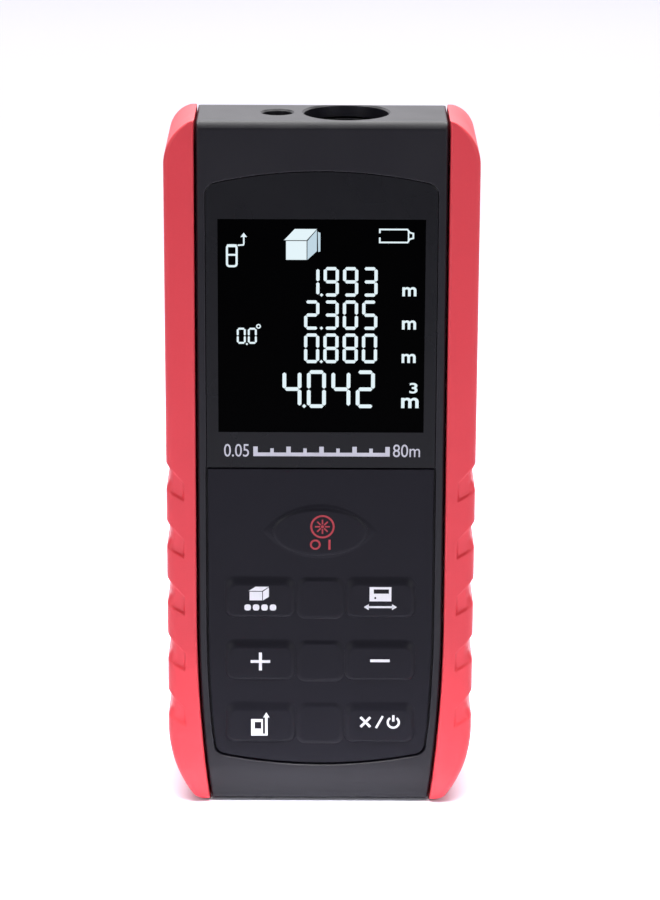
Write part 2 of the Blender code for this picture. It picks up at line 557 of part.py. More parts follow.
def make_board():
    board = box((-BOARD_HALF, BOARD_HALF), (BOARD_Y, BOARD_BACK), (BOARD_LOW, BOARD_HIGH))
    for side in (-1, 1):
        hole = (side * BOARD_SCREW_X, BOARD_SCREW_Z)
        cut(board, turned("Y", hole, [(BOARD_Y - OVER, 0.85), (BOARD_BACK + OVER, 0.85)], 16))
        steps = [(-10.2, BOARD_SHANK), (BOARD_BACK + FINE_GAP, BOARD_SHANK),
                 (BOARD_BACK + FINE_GAP, 1.4), (-6.5, 1.4), (-6.3, 1.0)]
        name = "board_screw_left" if side < 0 else "board_screw_right"
        finish(name, turned("Y", hole, steps, 16), "steel")
    finish("main_board", board, "circuit_board", smooth=False)

    back = BOARD_BACK + FINE_GAP
    finish("processor_chip", box((-4.0, 6.0), (back, -6.0), (30.0, 40.0)), "chip", smooth=False)
    buzzer = turned("Y", (-10.5, 26.0), [(back, 4.5), (-4.6, 4.5), (-4.4, 4.3), (-4.4, 1.0),
                                         (-4.8, 1.0)], ROUND)
    finish("buzzer", buzzer, "chip")


def make_optics():
    receiver, emitter = (RECEIVER_X, RECEIVER_Y), (EMITTER_X, EMITTER_Y)
    chassis = box((-11.2, 9.2), (-7.9, 2.4), (CHASSIS_LOW, NECK_LOW + GAP))
    join(chassis, box((-11.2, 10.8), (-9.6, 2.9), (NECK_LOW, COLLAR_LOW)),
         box((-17.8, 17.8), (1.5, 2.8), (NECK_LOW + 0.5, COLLAR_LOW - 1.0)),
         turned("Z", receiver, [(COLLAR_LOW - GAP, COLLAR_RADIUS), (CHASSIS_TOP, COLLAR_RADIUS)],
                FINE_ROUND),
         turned("Z", emitter, [(COLLAR_LOW - 0.4, 4.0), (CHASSIS_TOP, 4.0)]))
    path = [(CHASSIS_LOW - OVER, 4.25), (80.5, 4.25), (80.5, 3.6), (NECK_LOW + 0.5, 3.6),
            (NECK_LOW + 0.5, 5.4), (LENS_BACK - GAP, 5.4), (LENS_BACK - GAP, LENS_SEAT),
            (CHASSIS_TOP + OVER, LENS_SEAT)]
    cut(chassis, turned("Z", receiver, path, FINE_ROUND),
        turned("Z", emitter, [(CHASSIS_LOW - OVER, EMITTER_BORE),
                              (CHASSIS_TOP + OVER, EMITTER_BORE)]))
    for side in (-1, 1):
        cut(chassis, turned("Y", (side * SCREW_X, SCREW_HIGH_Z), [(0, 1.3), (5, 1.3)], 16))
    finish("optics_chassis", chassis, "chassis")

    sag = LENS_CROWN - LENS_EDGE
    sphere = (LENS_RADIUS ** 2 + sag ** 2) / (2 * sag)
    shares = (1.0, 0.8, 0.6, 0.4, 0.2, 0.08)
    dome = [(LENS_CROWN - sphere + math.sqrt(sphere ** 2 - (s * LENS_RADIUS) ** 2),
             s * LENS_RADIUS) for s in shares]
    finish("receiver_lens", turned("Z", receiver, [(LENS_BACK, LENS_RADIUS)] + dome, FINE_ROUND),
           "optical_glass")
    finish("lens_ring", tube("Z", receiver, LENS_RADIUS, 5.5, 110.75, 112.1, FINE_ROUND),
           "chassis")
    finish("receiver_filter", turned("Z", receiver, [(79.4, 4.0), (80.2, 4.0)]), "optical_glass")
    diode = [(OPTICS_BOARD_HIGH + GAP, 3.0), (76.2, 3.0), (76.2, 2.6), (78.6, 2.6)]
    finish("photodiode", turned("Z", receiver, diode), "nickel")

    finish("laser_barrel", tube("Z", emitter, BARREL_RADIUS, BARREL_BORE, 79.0, 110.6), "brass")
    laser = [(OPTICS_BOARD_HIGH + GAP, 0.8), (79.6, 0.8), (79.6, 2.1), (80.6, 2.1), (80.6, 1.6),
             (83.4, 1.6)]
    finish("laser_diode", turned("Z", emitter, laser), "brass")
    finish("collimator_lens", turned("Z", emitter, [(105.6, 1.4), (106.0, 2.1), (107.4, 2.1),
                                                    (107.9, 1.4), (108.1, 0.5)]), "optical_glass")
    finish("emitter_window", turned("Z", emitter, [(111.0, 2.9), (111.8, 2.9)]), "optical_glass")

    board = box((-10.8, 8.8), (-7.6, 2.0), (OPTICS_BOARD_LOW, OPTICS_BOARD_HIGH))
    finish("optics_board", board, "circuit_board", smooth=False)
    flex = ribbon([(-5.6, 73.9), (-5.6, 66.0), (-5.9, 63.5), (-6.6, 61.0), (-6.95, 59.0),
                   (-6.95, 56.0)], FINE_GAP, -4.0, 6.0)
    finish("optics_flex", flex, "flex", smooth=False)


# ---------------------------------------------------------------- battery bay and screws

def make_cell(name, x, low, upward):
    """AAA cell with its raised positive end up or down."""
    nub, shoulder = 0.8, 0.5
    steps = [(0, 4.6), (0.3, CELL_RADIUS), (CELL_LENGTH - nub - shoulder, CELL_RADIUS),
             (CELL_LENGTH - nub, 4.6), (CELL_LENGTH - nub, 1.9), (CELL_LENGTH, 1.9)]
    if not upward:
        steps = [(CELL_LENGTH - level, radius) for level, radius in reversed(steps)]
    cell = turned("Z", (x, CELL_Y), [(low + level, radius) for level, radius in steps])
    finish(name, cell, "cell_sleeve")


def make_spring(name, x, low):
    """Cone-shaped contact spring, wide at the wall and narrow at the cell."""
    per_turn = 14
    count = SPRING_TURNS * per_turn
    curve = bpy.data.curves.new(name, "CURVE")
    curve.dimensions = "3D"
    curve.bevel_depth = SPRING_WIRE * MM
    curve.bevel_resolution = 1
    curve.use_fill_caps = True
    spline = curve.splines.new("POLY")
    spline.points.add(count)
    rise = SPRING_HEIGHT - 2 * SPRING_WIRE
    for i in range(count + 1):
        share = i / count
        radius = 3.6 - 1.2 * share
        angle = 2 * math.pi * i / per_turn
        point = Vector((radius * math.cos(angle), radius * math.sin(angle), rise * share))
        spline.points[i].co = (*(point * MM), 1.0)
    spring = bpy.data.objects.new(name, curve)
    spring.location = Vector((x, CELL_Y, low + SPRING_WIRE)) * MM
    bpy.context.scene.collection.objects.link(spring)
    curve.materials.append(material("steel"))
    return spring


def make_battery_bay():
    make_cell("battery_cell_left", -CELL_X, CONTACT_HIGH - GAP - CELL_LENGTH, True)
    make_cell("battery_cell_right", CELL_X, CONTACT_LOW + CONTACT_SHEET + GAP, False)
    make_spring("battery_spring_left", -CELL_X, CONTACT_LOW + CONTACT_SHEET + FINE_GAP)
    top_spring = make_spring("battery_spring_right", CELL_X, CONTACT_HIGH)
    top_spring.rotation_euler.x = math.pi
    top_spring.location.z = (CONTACT_HIGH - FINE_GAP - SPRING_WIRE) * MM

    sheet = (CONTACT_HIGH, CONTACT_HIGH + CONTACT_SHEET)
    finish("battery_link", box((-9.4, 9.4), (1.6, 9.0), sheet), "nickel", smooth=False)
    for side, name in ((-1, "battery_terminal_left"), (1, "battery_terminal_right")):
        sheet = (CONTACT_LOW, CONTACT_LOW + CONTACT_SHEET)
        plate = box((side * CELL_X - 3.7, side * CELL_X + 3.7), (1.6, 9.0), sheet)
        lead = box((side * CELL_X - 1.3, side * CELL_X + 1.3), (-6.9, 2.0), sheet)
        finish(name, join(plate, lead), "nickel", smooth=False)

    door = box((-DOOR_HALF, DOOR_HALF), (DOOR_BACK, DOOR_Y), (DOOR_LOW, DOOR_HIGH))
    join(door, box((-TONGUE_HALF, TONGUE_HALF), (DOOR_BACK, DOOR_Y),
                   (DOOR_HIGH - 1.0, TONGUE_HIGH)))
    hook = [(DOOR_BACK + 0.2, 10.2), (DOOR_BACK + 0.2, 11.6), (9.9, 11.6), (9.9, 8.6),
            (10.9, 8.6), (10.9, 10.2)]
    for side in (-1, 1):
        join(door, prism("X", hook, side * TAB_X - TAB_HALF, side * TAB_X + TAB_HALF))
    for i in range(4):
        z = 60.6 - 1.4 * i
        cut(door, box((-4.0, 4.0), (DOOR_Y - 0.35, DOOR_Y + OVER), (z, z + 0.6)))
    finish("battery_door", door, "black_abs", origin=(0.0, PIVOT_Y, PIVOT_Z))


def make_housing_screws():
    """Four self-tapping screws from the rear shell into the front shell's bosses."""
    ends = (("lower", SCREW_LOW_Z, -4.0), ("upper", SCREW_HIGH_Z, -5.0))
    for level, z, tip in ends:
        for side, word in ((-1, "left"), (1, "right")):
            seat = HEAD_SEAT + FINE_GAP
            steps = [(tip, 0.3), (tip + 1.0, SHANK), (seat, SHANK), (seat, HEAD),
                     (seat + 0.9, HEAD), (seat + 1.5, 1.1)]
            screw = turned("Y", (side * SCREW_X, z), steps, 16)
            finish("screw_" + level + "_" + word, screw, "steel")


def main():
    for old in list(bpy.data.objects):
        bpy.data.objects.remove(old)
    make_front_housing()
    make_rear_housing()
    make_grip("grip_left", -1)
    make_grip("grip_right", 1)
    make_display()
    make_keypad()
    make_board()
    make_optics()
    make_battery_bay()
    make_housing_screws()


main()
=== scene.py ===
"""Looks of the laser distance meter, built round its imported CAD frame.

Sizes are in millimetres and MM turns them into metres. X runs across the width, the display and
the keypad face -Y, and +Z runs up to the optics in the top face.
"""
import math

import bmesh
import bpy
from mathutils import Matrix, Vector


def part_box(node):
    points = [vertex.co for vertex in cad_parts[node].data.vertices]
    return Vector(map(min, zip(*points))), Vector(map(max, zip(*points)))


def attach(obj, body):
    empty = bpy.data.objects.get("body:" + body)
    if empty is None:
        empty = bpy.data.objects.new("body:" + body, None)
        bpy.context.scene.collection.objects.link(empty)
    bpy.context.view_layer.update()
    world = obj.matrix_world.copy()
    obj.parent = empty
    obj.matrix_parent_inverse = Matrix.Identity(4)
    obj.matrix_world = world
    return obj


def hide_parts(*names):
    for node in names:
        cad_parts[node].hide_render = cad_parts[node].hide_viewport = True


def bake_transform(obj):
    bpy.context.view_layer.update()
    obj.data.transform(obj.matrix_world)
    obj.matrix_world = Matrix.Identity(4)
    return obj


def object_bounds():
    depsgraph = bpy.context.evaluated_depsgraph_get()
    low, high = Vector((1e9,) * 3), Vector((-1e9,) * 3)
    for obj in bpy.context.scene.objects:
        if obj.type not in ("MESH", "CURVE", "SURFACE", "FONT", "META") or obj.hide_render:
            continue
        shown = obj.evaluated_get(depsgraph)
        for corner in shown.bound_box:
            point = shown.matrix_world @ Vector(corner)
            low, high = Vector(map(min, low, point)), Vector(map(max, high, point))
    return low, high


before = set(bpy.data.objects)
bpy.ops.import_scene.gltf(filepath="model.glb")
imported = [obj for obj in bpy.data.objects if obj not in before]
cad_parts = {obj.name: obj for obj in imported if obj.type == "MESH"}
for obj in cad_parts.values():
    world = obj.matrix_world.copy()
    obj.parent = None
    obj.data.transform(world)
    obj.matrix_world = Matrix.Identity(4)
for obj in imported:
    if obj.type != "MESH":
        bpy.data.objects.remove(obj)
cad_low, cad_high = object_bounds()

MM = 0.001


def node_box(name):
    """Lowest and highest corner of a CAD node, in millimetres."""
    low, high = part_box(name)
    return low / MM, high / MM


# Sizes that the frame gives
LENGTH = cad_high.z / MM
GRIP_OUT = cad_high.x / MM
GRIP_FRONT = cad_low.y / MM
REAR_Y = cad_high.y / MM
shell_low, shell_high = node_box("front_housing")
FACE_Y, TOP_Z = shell_low.y, shell_high.z
GRIP_REAR = node_box("grip_right")[1].y
window_low, window_high = node_box("display_window")
mat_low, mat_high = node_box("keypad_mat")
WINDOW_Y, WINDOW_BACK = window_low.y, window_high.y
MAT_BACK, PAD_Y = mat_high.y, mat_low.y
PANEL_TOP, PANEL_LOW = window_high.z, mat_low.z
SPLIT_Z = (window_low.z + mat_high.z) / 2
KEY_TOP_Y = node_box("key_menu")[0].y
OVAL_TOP_Y = node_box("key_measure")[0].y
lens_low, lens_high = node_box("receiver_lens")
door_high = node_box("battery_door")[1]

# Housing
GAP, FINE_GAP, OVER = 0.3, 0.15, 2.0
BODY_HALF, TAPER_Z, TAPER_RADIUS = 19.9, 32.0, 250.0
WALL, SIDE_WALL, ROOF, FLOOR_Z, FRONT_INNER_Y = 1.8, 1.7, 2.0, 2.0, -9.9
LENS_BAY_Z, LENS_BAY_Y, LENS_EDGE = 107.5, -10.95, 1.2
PARTING_Y = 5.0
CHIN_Z, CHIN_RADIUS = 7.0, 18.0
EDGE_RADIUS, HEEL_RADIUS, SIDE_EDGE = 1.7, 2.5, 0.5
TOP_EDGE, TOP_EDGE_POWER = 1.1, 1.15
SHOULDER_RADIUS, GRIP_SHOULDER = 12.0, 13.0
POCKET_RIM, RECEIVER_HOLE, EMITTER_HOLE, HOLE_BEVEL = 0.2, 6.75, 2.45, 0.3
SCREW_X, SCREW_LOW_Z, SCREW_HIGH_Z = 15.4, 17.0, 104.5
BOSS_RADIUS, LOW_BOSS_Y, HIGH_BOSS_END = 2.5, (-6.7, 2.7), 1.2
POST_RADIUS, LOW_POST_Y, HIGH_POST_Y, POST_END = 2.6, 3.0, 3.2, 11.8
SCREW_SEAT_Y, HEAD_HOLE, SHANK_HOLE = 7.0, 2.15, 1.15

# Battery bay and door
BAY_HALF, BAY_FLOOR_Y, BAY_WALL, BAY_LOW_Z, BAY_END_WALL = 11.3, -0.4, 1.1, 10.3, 1.4
LATCH_HALF, LATCH_Y, LATCH_TOP_Z = 6.2, 9.2, 67.4
TAB_SLOT_X, TAB_SLOT_Y, TAB_SLOT_Z = 7.3, 9.3, 8.2
LEAD_SLOT_X, LEAD_SLOT_TOP_Z = (4.0, 7.2), 11.3
DOOR_BACK_Y, DOOR_LOW_Z, DOOR_HIGH_Z, DOOR_CORNER = 11.5, 10.0, 63.0, 1.0
DOOR_SINK, DOOR_RIM, BAY_RIM, TONGUE_HALF = 0.1, 0.3, 0.25, 4.7
HOOK_X, HOOK_HALF, RIDGE_COUNT, RIDGE_TOP_Z, RIDGE_PITCH = 9.3, 1.7, 5, 61.3, 1.25
RIDGE_RADIUS, RIDGE_HALF = 0.38, 4.2
TRIM = 0.1   # keeps the faces of two cutters out of one plane

# Grips
CROWN_Z, CROWN_RADIUS, CROWN_TIP = 107.8, 8.0, 0.4
FOOT_Z, FOOT_RADIUS, FOOT_TIP = 13.5, 21.5, 1.2
GRIP_EDGE_TOP, GRIP_EDGE_LOW, INNER_EDGE = 0.6, 1.8, 0.4
NOTCH_COUNT, NOTCH_TOP, NOTCH_LOW, NOTCH_PITCH = 5, 59.0, 54.2, 9.74
NOTCH_DEPTH, WEDGE_DEPTH, NOTCH_LIP, NOTCH_INNER_X, NOTCH_SIDE = 0.62, 0.5, 0.35, 22.0, 0.4
NOTCH_TOP_SLOPE, NOTCH_LOW_SLOPE, NOTCH_STEP, NOTCH_RAMP = 1.1, 0.62, 1.2, 2.3
WEDGE_STEP, WEDGE_RAMP = 0.3, 0.5

# Face panel
FRAME, PANEL_CORNER, PANEL_CROWN, PANEL_BOW = 1.47, 1.9, 77.0, 79.0
MAT_Y, MAT_LEDGE, MAT_FLOOR, WINDOW_FLOOR, MAT_OPEN_TOP = -12.15, 1.3, -10.65, -10.9, 56.6
SCREEN_HALF, SCREEN_LOW, SCREEN_HIGH = 16.5, 64.05, 99.1
SOFT_EDGE, WINDOW_GAP = 0.14, 0.02
PRINT, PRINT_CLEAR = 0.012, 0.0006   # front and back of a printed or lit mark off its surface
SNUG = 0.004   # fit of a key in its hole

# Keys
KEY_X, KEY_HALF, KEY_CORNER, KEY_SIDE = 9.8, 5.8, 1.5, 0.85
KEY_RISE, KEY_DROP, FACE_UP, FACE_DOWN, ROLL = 4.0, 3.1, 2.35, 2.5, 1.3
ROW_Z, ROW_PITCH = 35.65, 10.9
PAD_HALF, PAD_UP, PAD_DOWN, PAD_ROOT = 3.9, 3.85, 3.4, 0.3
FACE_CORNER, PAD_CORNER = 1.2, 1.0
OVAL_X, OVAL_Z, OVAL_A, OVAL_B, OVAL_SLOPE = -0.1, 47.25, 7.7, 4.1, 0.6
EYE_HALF, EYE_RISE, EYE_Y, EYE_SLOPE, EYE_ROOT, EYE_STEP = 9.6, 4.75, -12.27, 0.7, 0.4, 0.01

# Lights and camera
CAMERA_DISTANCE, CAMERA_PITCH, CAMERA_LENS, CAMERA_ROLL = 565.7, 16.52, 137.24, 0.0036
CAMERA_SHIFT = (0.0101, -0.0004)
FLOOR_REACH, FLOOR_DROP = 4000.0, 0.2
TENT_FRONT, TENT_BACK, TENT_TOP = 0.16, 1.12, 0.4
LAMPS = (   # name, place, size, watts, aim, spread in degrees
    ("top_light", (0, 90, 430), (420, 260), 1.5, (0, 20, 0), 110),
    ("back_light", (0, 650, 520), (1300, 700), 4.8, (0, 600, 0), 180),
    ("side_light_left", (-420, -560, 230), (300, 260), 0.125, (0, 0, 45), 50),
    ("side_light_right", (420, -560, 230), (300, 260), 0.125, (0, 0, 45), 50),
    ("floor_light", (0, -75, 110), (260, 70), 0.012, (0, -60, 0), 110),
    ("foot_light", (0, -26, 40), (50, 12), 0.009, (0, -20, 0), 50),
)

PLACE = {
    "X": lambda u, v, level: (level, u, v),
    "Y": lambda u, v, level: (u, level, v),
    "Z": lambda u, v, level: (u, v, level),
}


# ---------------------------------------------------------------- outlines

def arc(centre_u, centre_v, radius, start, end, steps):
    """Points along an arc, angles in degrees."""
    angles = [math.radians(start + (end - start) * i / steps) for i in range(steps + 1)]
    return [(centre_u + radius * math.cos(a), centre_v + radius * math.sin(a)) for a in angles]


def circle(centre_u, centre_v, radius, sides=48):
    return arc(centre_u, centre_v, radius, 0, 360, sides)[:-1]


def rectangle(low_u, high_u, low_v, high_v):
    return [(low_u, low_v), (high_u, low_v), (high_u, high_v), (low_u, high_v)]


def rounded_rectangle(low_u, high_u, low_v, high_v, radius, steps=8):
    corners = [(high_u - radius, low_v + radius, -90), (high_u - radius, high_v - radius, 0),
               (low_u + radius, high_v - radius, 90), (low_u + radius, low_v + radius, 180)]
    return [p for u, v, start in corners for p in arc(u, v, radius, start, start + 90, steps)]


def mirrored(right_side):
    """Close an outline whose right side runs from the bottom centre to the top centre."""
    return right_side + [(-u, v) for u, v in reversed(right_side) if abs(u) > 1e-6]


def ease(share):
    """0 to 1 with level ends."""
    share = min(1.0, max(0.0, share))
    return share * share * (3 - 2 * share)


def round_off(radius, depth):
    """How far a round edge stands back at a depth below its end."""
    rise = max(0.0, radius - depth)
    return radius - math.sqrt(max(0.0, radius ** 2 - rise ** 2))


def body_half(z):
    return BODY_HALF - max(0.0, TAPER_Z - z) ** 2 / (2 * TAPER_RADIUS)


def chin_y(z, front):
    drop = max(0.0, CHIN_Z - z)
    return front + CHIN_RADIUS - math.sqrt(CHIN_RADIUS ** 2 - drop ** 2)


def shoulder_y(z, rear, top, radius):
    rise = max(0.0, z - (top - radius))
    return rear - radius + math.sqrt(max(0.0, radius ** 2 - rise ** 2))


def panel_outline(grow=0.0):
    """Front view of the whole face panel: crowned top, tapering sides, bowed lower edge."""
    corner = PANEL_CORNER + grow
    crown, bow = PANEL_CROWN + grow, PANEL_BOW + grow
    crown_z = PANEL_TOP + FINE_GAP - PANEL_CROWN
    bow_z = PANEL_LOW - FINE_GAP + PANEL_BOW
    top_x = BODY_HALF - FRAME + grow - corner
    low_x = body_half(PANEL_LOW + PANEL_CORNER) - FRAME + grow - corner
    top_z = crown_z + math.sqrt((crown - corner) ** 2 - top_x ** 2)
    low_z = bow_z - math.sqrt((bow - corner) ** 2 - low_x ** 2)
    top_angle = math.degrees(math.atan2(top_z - crown_z, top_x))
    low_angle = math.degrees(math.atan2(low_z - bow_z, low_x))
    bottom = arc(0, bow_z, bow, -90, low_angle, 16)
    low_corner = arc(low_x, low_z, corner, low_angle, 0, 10)[1:]
    side = [(body_half(z) - FRAME + grow, z) for z in (14.0, 18.0, 22.0, 26.0, 29.0, TAPER_Z)]
    top_corner = arc(top_x, top_z, corner, 0, top_angle, 10)
    top = arc(0, crown_z, crown, top_angle, 90, 16)[1:]
    return mirrored(bottom + low_corner + side + top_corner + top)


def clipped(outline, limit, keep_above):
    """The part of a closed (u, v) outline above or below a level."""
    sign = 1 if keep_above else -1
    kept = []
    for (u0, v0), (u1, v1) in zip(outline, outline[1:] + outline[:1]):
        inside, following = sign * (v0 - limit) >= 0, sign * (v1 - limit) >= 0
        if inside:
            kept.append((u0, v0))
        if inside != following:
            share = (limit - v0) / (v1 - v0)
            kept.append((u0 + (u1 - u0) * share, limit))
    return kept


def window_outline(grow):
    return clipped(panel_outline(grow), SPLIT_Z + FINE_GAP, True)


def mat_outline(grow):
    return clipped(panel_outline(grow), SPLIT_Z + grow, False)


# ---------------------------------------------------------------- solids

def linked(name, mesh):
    made = bpy.data.objects.new(name, mesh)
    bpy.context.scene.collection.objects.link(made)
    return made


def loft(axis, sections):
    """Skin a list of (level, outline) with equal point counts, and cap both ends."""
    place = PLACE[axis]
    work = bmesh.new()
    loops = [[work.verts.new(Vector(place(u, v, level)) * MM) for u, v in outline]
             for level, outline in sections]
    for lower, upper in zip(loops, loops[1:]):
        count = len(lower)
        for i in range(count):
            following = (i + 1) % count
            work.faces.new((lower[i], lower[following], upper[following], upper[i]))
    work.faces.new(loops[0])
    work.faces.new(loops[-1])
    bmesh.ops.recalc_face_normals(work, faces=work.faces)
    mesh = bpy.data.meshes.new("solid")
    work.to_mesh(mesh)
    work.free()
    return linked("solid", mesh)


def prism(axis, outline, low, high):
    return loft(axis, [(low, outline), (high, outline)])


def box(x, y, z):
    return prism("Z", rectangle(x[0], x[1], y[0], y[1]), z[0], z[1])


def turned(axis, centre, steps, sides=48):
    """Turned solid about a line through centre: steps are (level, radius)."""
    return loft(axis, [(level, circle(*centre, radius, sides)) for level, radius in steps])


def combine(target, tools, operation):
    """Join, cut or intersect a solid with others, which are used up."""
    for tool in tools:
        step = target.modifiers.new("step", "BOOLEAN")
        step.solver, step.operation, step.object = "EXACT", operation, tool
        ready = target.evaluated_get(bpy.context.evaluated_depsgraph_get())
        mesh = bpy.data.meshes.new_from_object(ready)
        target.modifiers.clear()
        target.data = mesh
        bpy.data.objects.remove(tool)
    return target


def join(target, *tools):
    return combine(target, tools, "UNION")


def cut(target, *tools):
    return combine(target, tools, "DIFFERENCE")


def keep(target, *tools):
    return combine(target, tools, "INTERSECT")


def gather(target, *others):
    """Put separate closed shells into one object."""
    work = bmesh.new()
    for part in (target, *others):
        work.from_mesh(part.data)
    work.to_mesh(target.data)
    work.free()
    for other in others:
        bpy.data.objects.remove(other)
    return target


def finish(name, solid, look, body="housing", stands_for=(), sharp=30):
    """Name a piece, shade it, give it its material and let it ride on its body."""
    solid.name = solid.data.name = name
    solid.data.materials.clear()
    solid.data.materials.append(look)
    solid.data.shade_smooth()
    solid.data.set_sharp_from_angle(angle=math.radians(sharp))
    even = solid.modifiers.new("even", "WEIGHTED_NORMAL")
    even.keep_sharp = True
    if body:
        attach(solid, body)
    if stands_for:
        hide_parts(*stands_for)
    return solid


# ---------------------------------------------------------------- materials

def principled(name, colour, roughness, metallic=0.0, specular=0.5):
    made = bpy.data.materials.new(name)
    made.use_nodes = True
    shader = made.node_tree.nodes["Principled BSDF"]
    shader.inputs["Base Color"].default_value = (*colour, 1.0)
    shader.inputs["Roughness"].default_value = roughness
    shader.inputs["Metallic"].default_value = metallic
    shader.inputs["Specular IOR Level"].default_value = specular
    return made, made.node_tree, shader


def noise(tree, scale, detail=2.0):
    """Noise in the object's own space, scale in features per metre."""
    place = tree.nodes.new("ShaderNodeTexCoord")
    grain = tree.nodes.new("ShaderNodeTexNoise")
    grain.inputs["Scale"].default_value = scale
    grain.inputs["Detail"].default_value = detail
    tree.links.new(place.outputs["Object"], grain.inputs["Vector"])
    return grain.outputs["Fac"]


def spread(tree, source, low, high):
    """Map a noise value to a range."""
    ramp = tree.nodes.new("ShaderNodeMapRange")
    ramp.inputs["From Min"].default_value = 0.3
    ramp.inputs["From Max"].default_value = 0.7
    ramp.inputs["To Min"].default_value = low
    ramp.inputs["To Max"].default_value = high
    tree.links.new(source, ramp.inputs["Value"])
    return ramp.outputs["Result"]


def grained(name, colour, roughness, grain, strength, height, metallic=0.0, specular=0.5,
            variation=0.06):
    """Moulded surface: fine relief, and colour and roughness that vary a little."""
    made, tree, shader = principled(name, colour, roughness, metallic, specular)
    fine = noise(tree, grain, 3.0)
    bump = tree.nodes.new("ShaderNodeBump")
    bump.inputs["Strength"].default_value = strength
    bump.inputs["Distance"].default_value = height * MM
    tree.links.new(fine, bump.inputs["Height"])
    tree.links.new(bump.outputs["Normal"], shader.inputs["Normal"])
    broad = noise(tree, 90.0)
    tree.links.new(spread(tree, broad, roughness - 0.04, roughness + 0.04),
                   shader.inputs["Roughness"])
    tint = tree.nodes.new("ShaderNodeMix")
    tint.data_type = "RGBA"
    tint.inputs["A"].default_value = (*[c * (1 - variation) for c in colour], 1.0)
    tint.inputs["B"].default_value = (*[c * (1 + variation) for c in colour], 1.0)
    tree.links.new(fine, tint.inputs["Factor"])
    tree.links.new(tint.outputs["Result"], shader.inputs["Base Color"])
    return made


def glass(name, colour, roughness=0.02):
    made, _, shader = principled(name, colour, roughness)
    shader.inputs["Transmission Weight"].default_value = 0.85
    shader.inputs["IOR"].default_value = 1.52
    shader.inputs["Coat Weight"].default_value = 0.4
    shader.inputs["Coat Tint"].default_value = (0.75, 0.70, 1.0, 1.0)
    return made


def lit(name, colour, strength):
    made, _, shader = principled(name, (0.0, 0.0, 0.0), 0.5, specular=0.0)
    shader.inputs["Emission Color"].default_value = (*colour, 1.0)
    shader.inputs["Emission Strength"].default_value = strength
    return made


LOOKS = {
    "black_abs": grained("housing_plastic", (0.0060, 0.0054, 0.0086), 0.37, 5200, 0.35, 0.02,
                         specular=0.33),
    "red_grip": grained("grip_rubber", (0.66, 0.036, 0.051), 0.42, 3800, 0.18, 0.015,
                        specular=0.50, variation=0.03),
    "smoked_window": grained("window_film", (0.0038, 0.0040, 0.0056), 0.28, 900, 0.05, 0.01,
                             specular=0.24),
    "display_glass": grained("screen_black", (0.0004, 0.0004, 0.0005), 0.12, 300, 0.02, 0.004,
                             specular=0.012),
    "keypad_silicone": grained("keypad_rubber", (0.0060, 0.0056, 0.0096), 0.42, 4600, 0.22,
                               0.015, specular=0.16),
    "backlight": grained("diffuser", (0.75, 0.77, 0.80), 0.40, 600, 0.05, 0.01),
    "foam": grained("foam", (0.03, 0.03, 0.03), 0.92, 3000, 0.8, 0.08),
    "circuit_board": grained("solder_mask", (0.012, 0.10, 0.045), 0.38, 1200, 0.15, 0.02),
    "chip": grained("moulded_epoxy", (0.018, 0.018, 0.018), 0.55, 5000, 0.4, 0.02),
    "flex": grained("polyimide", (0.50, 0.21, 0.035), 0.35, 700, 0.10, 0.01),
    "chassis": grained("chassis_plastic", (0.012, 0.012, 0.014), 0.55, 4200, 0.3, 0.02),
    "optical_glass": glass("coated_glass", (0.82, 0.86, 0.98)),
    "brass": grained("brass", (0.62, 0.42, 0.16), 0.32, 2600, 0.12, 0.01, metallic=1.0),
    "nickel": grained("nickel", (0.62, 0.60, 0.57), 0.28, 2600, 0.12, 0.01, metallic=1.0),
    "steel": grained("steel", (0.46, 0.46, 0.47), 0.34, 2600, 0.15, 0.01, metallic=1.0),
    "cell_sleeve": grained("cell_sleeve", (0.06, 0.12, 0.27), 0.30, 500, 0.04, 0.01),
}
WHITE_PRINT = grained("white_print", (0.72, 0.72, 0.76), 0.55, 5000, 0.1, 0.005)
GREY_PRINT = grained("grey_print", (0.50, 0.50, 0.56), 0.55, 5000, 0.1, 0.005)
RED_PRINT = grained("red_print", (0.36, 0.022, 0.035), 0.5, 5000, 0.1, 0.005)
LCD_LIGHT = lit("lcd_light", (0.80, 0.93, 0.98), 0.98)
LCD_SHADE = lit("lcd_shade", (0.58, 0.74, 0.84), 0.92)


def dress_cad():
    """Give every CAD node the finish of its material slot."""
    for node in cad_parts.values():
        slot = node.data.materials[0].name.split(".")[0]
        node.data.materials.clear()
        node.data.materials.append(LOOKS[slot])


# ---------------------------------------------------------------- housing

def body_section(z):
    """Plan of the housing at a height, with soft upright edges."""
    above, below = TOP_Z - z, z
    front = chin_y(z, FACE_Y)
    if below < EDGE_RADIUS:
        front = chin_y(EDGE_RADIUS, FACE_Y) + round_off(EDGE_RADIUS, below)
    if above < TOP_EDGE:
        share = 1 - above / TOP_EDGE
        front += TOP_EDGE * (1 - (1 - share ** TOP_EDGE_POWER) ** (1 / TOP_EDGE_POWER))
    rear = shoulder_y(z, REAR_Y, TOP_Z, SHOULDER_RADIUS) - round_off(HEEL_RADIUS, below)
    half = body_half(z) - round_off(SIDE_EDGE, above) - round_off(SIDE_EDGE, below)
    edge = SIDE_EDGE
    return (arc(half - edge, front + edge, edge, -90, 0, 6)
            + arc(half - edge, rear - edge, edge, 0, 90, 6)
            + arc(-half + edge, rear - edge, edge, 90, 180, 6)
            + arc(-half + edge, front + edge, edge, 180, 270, 6))


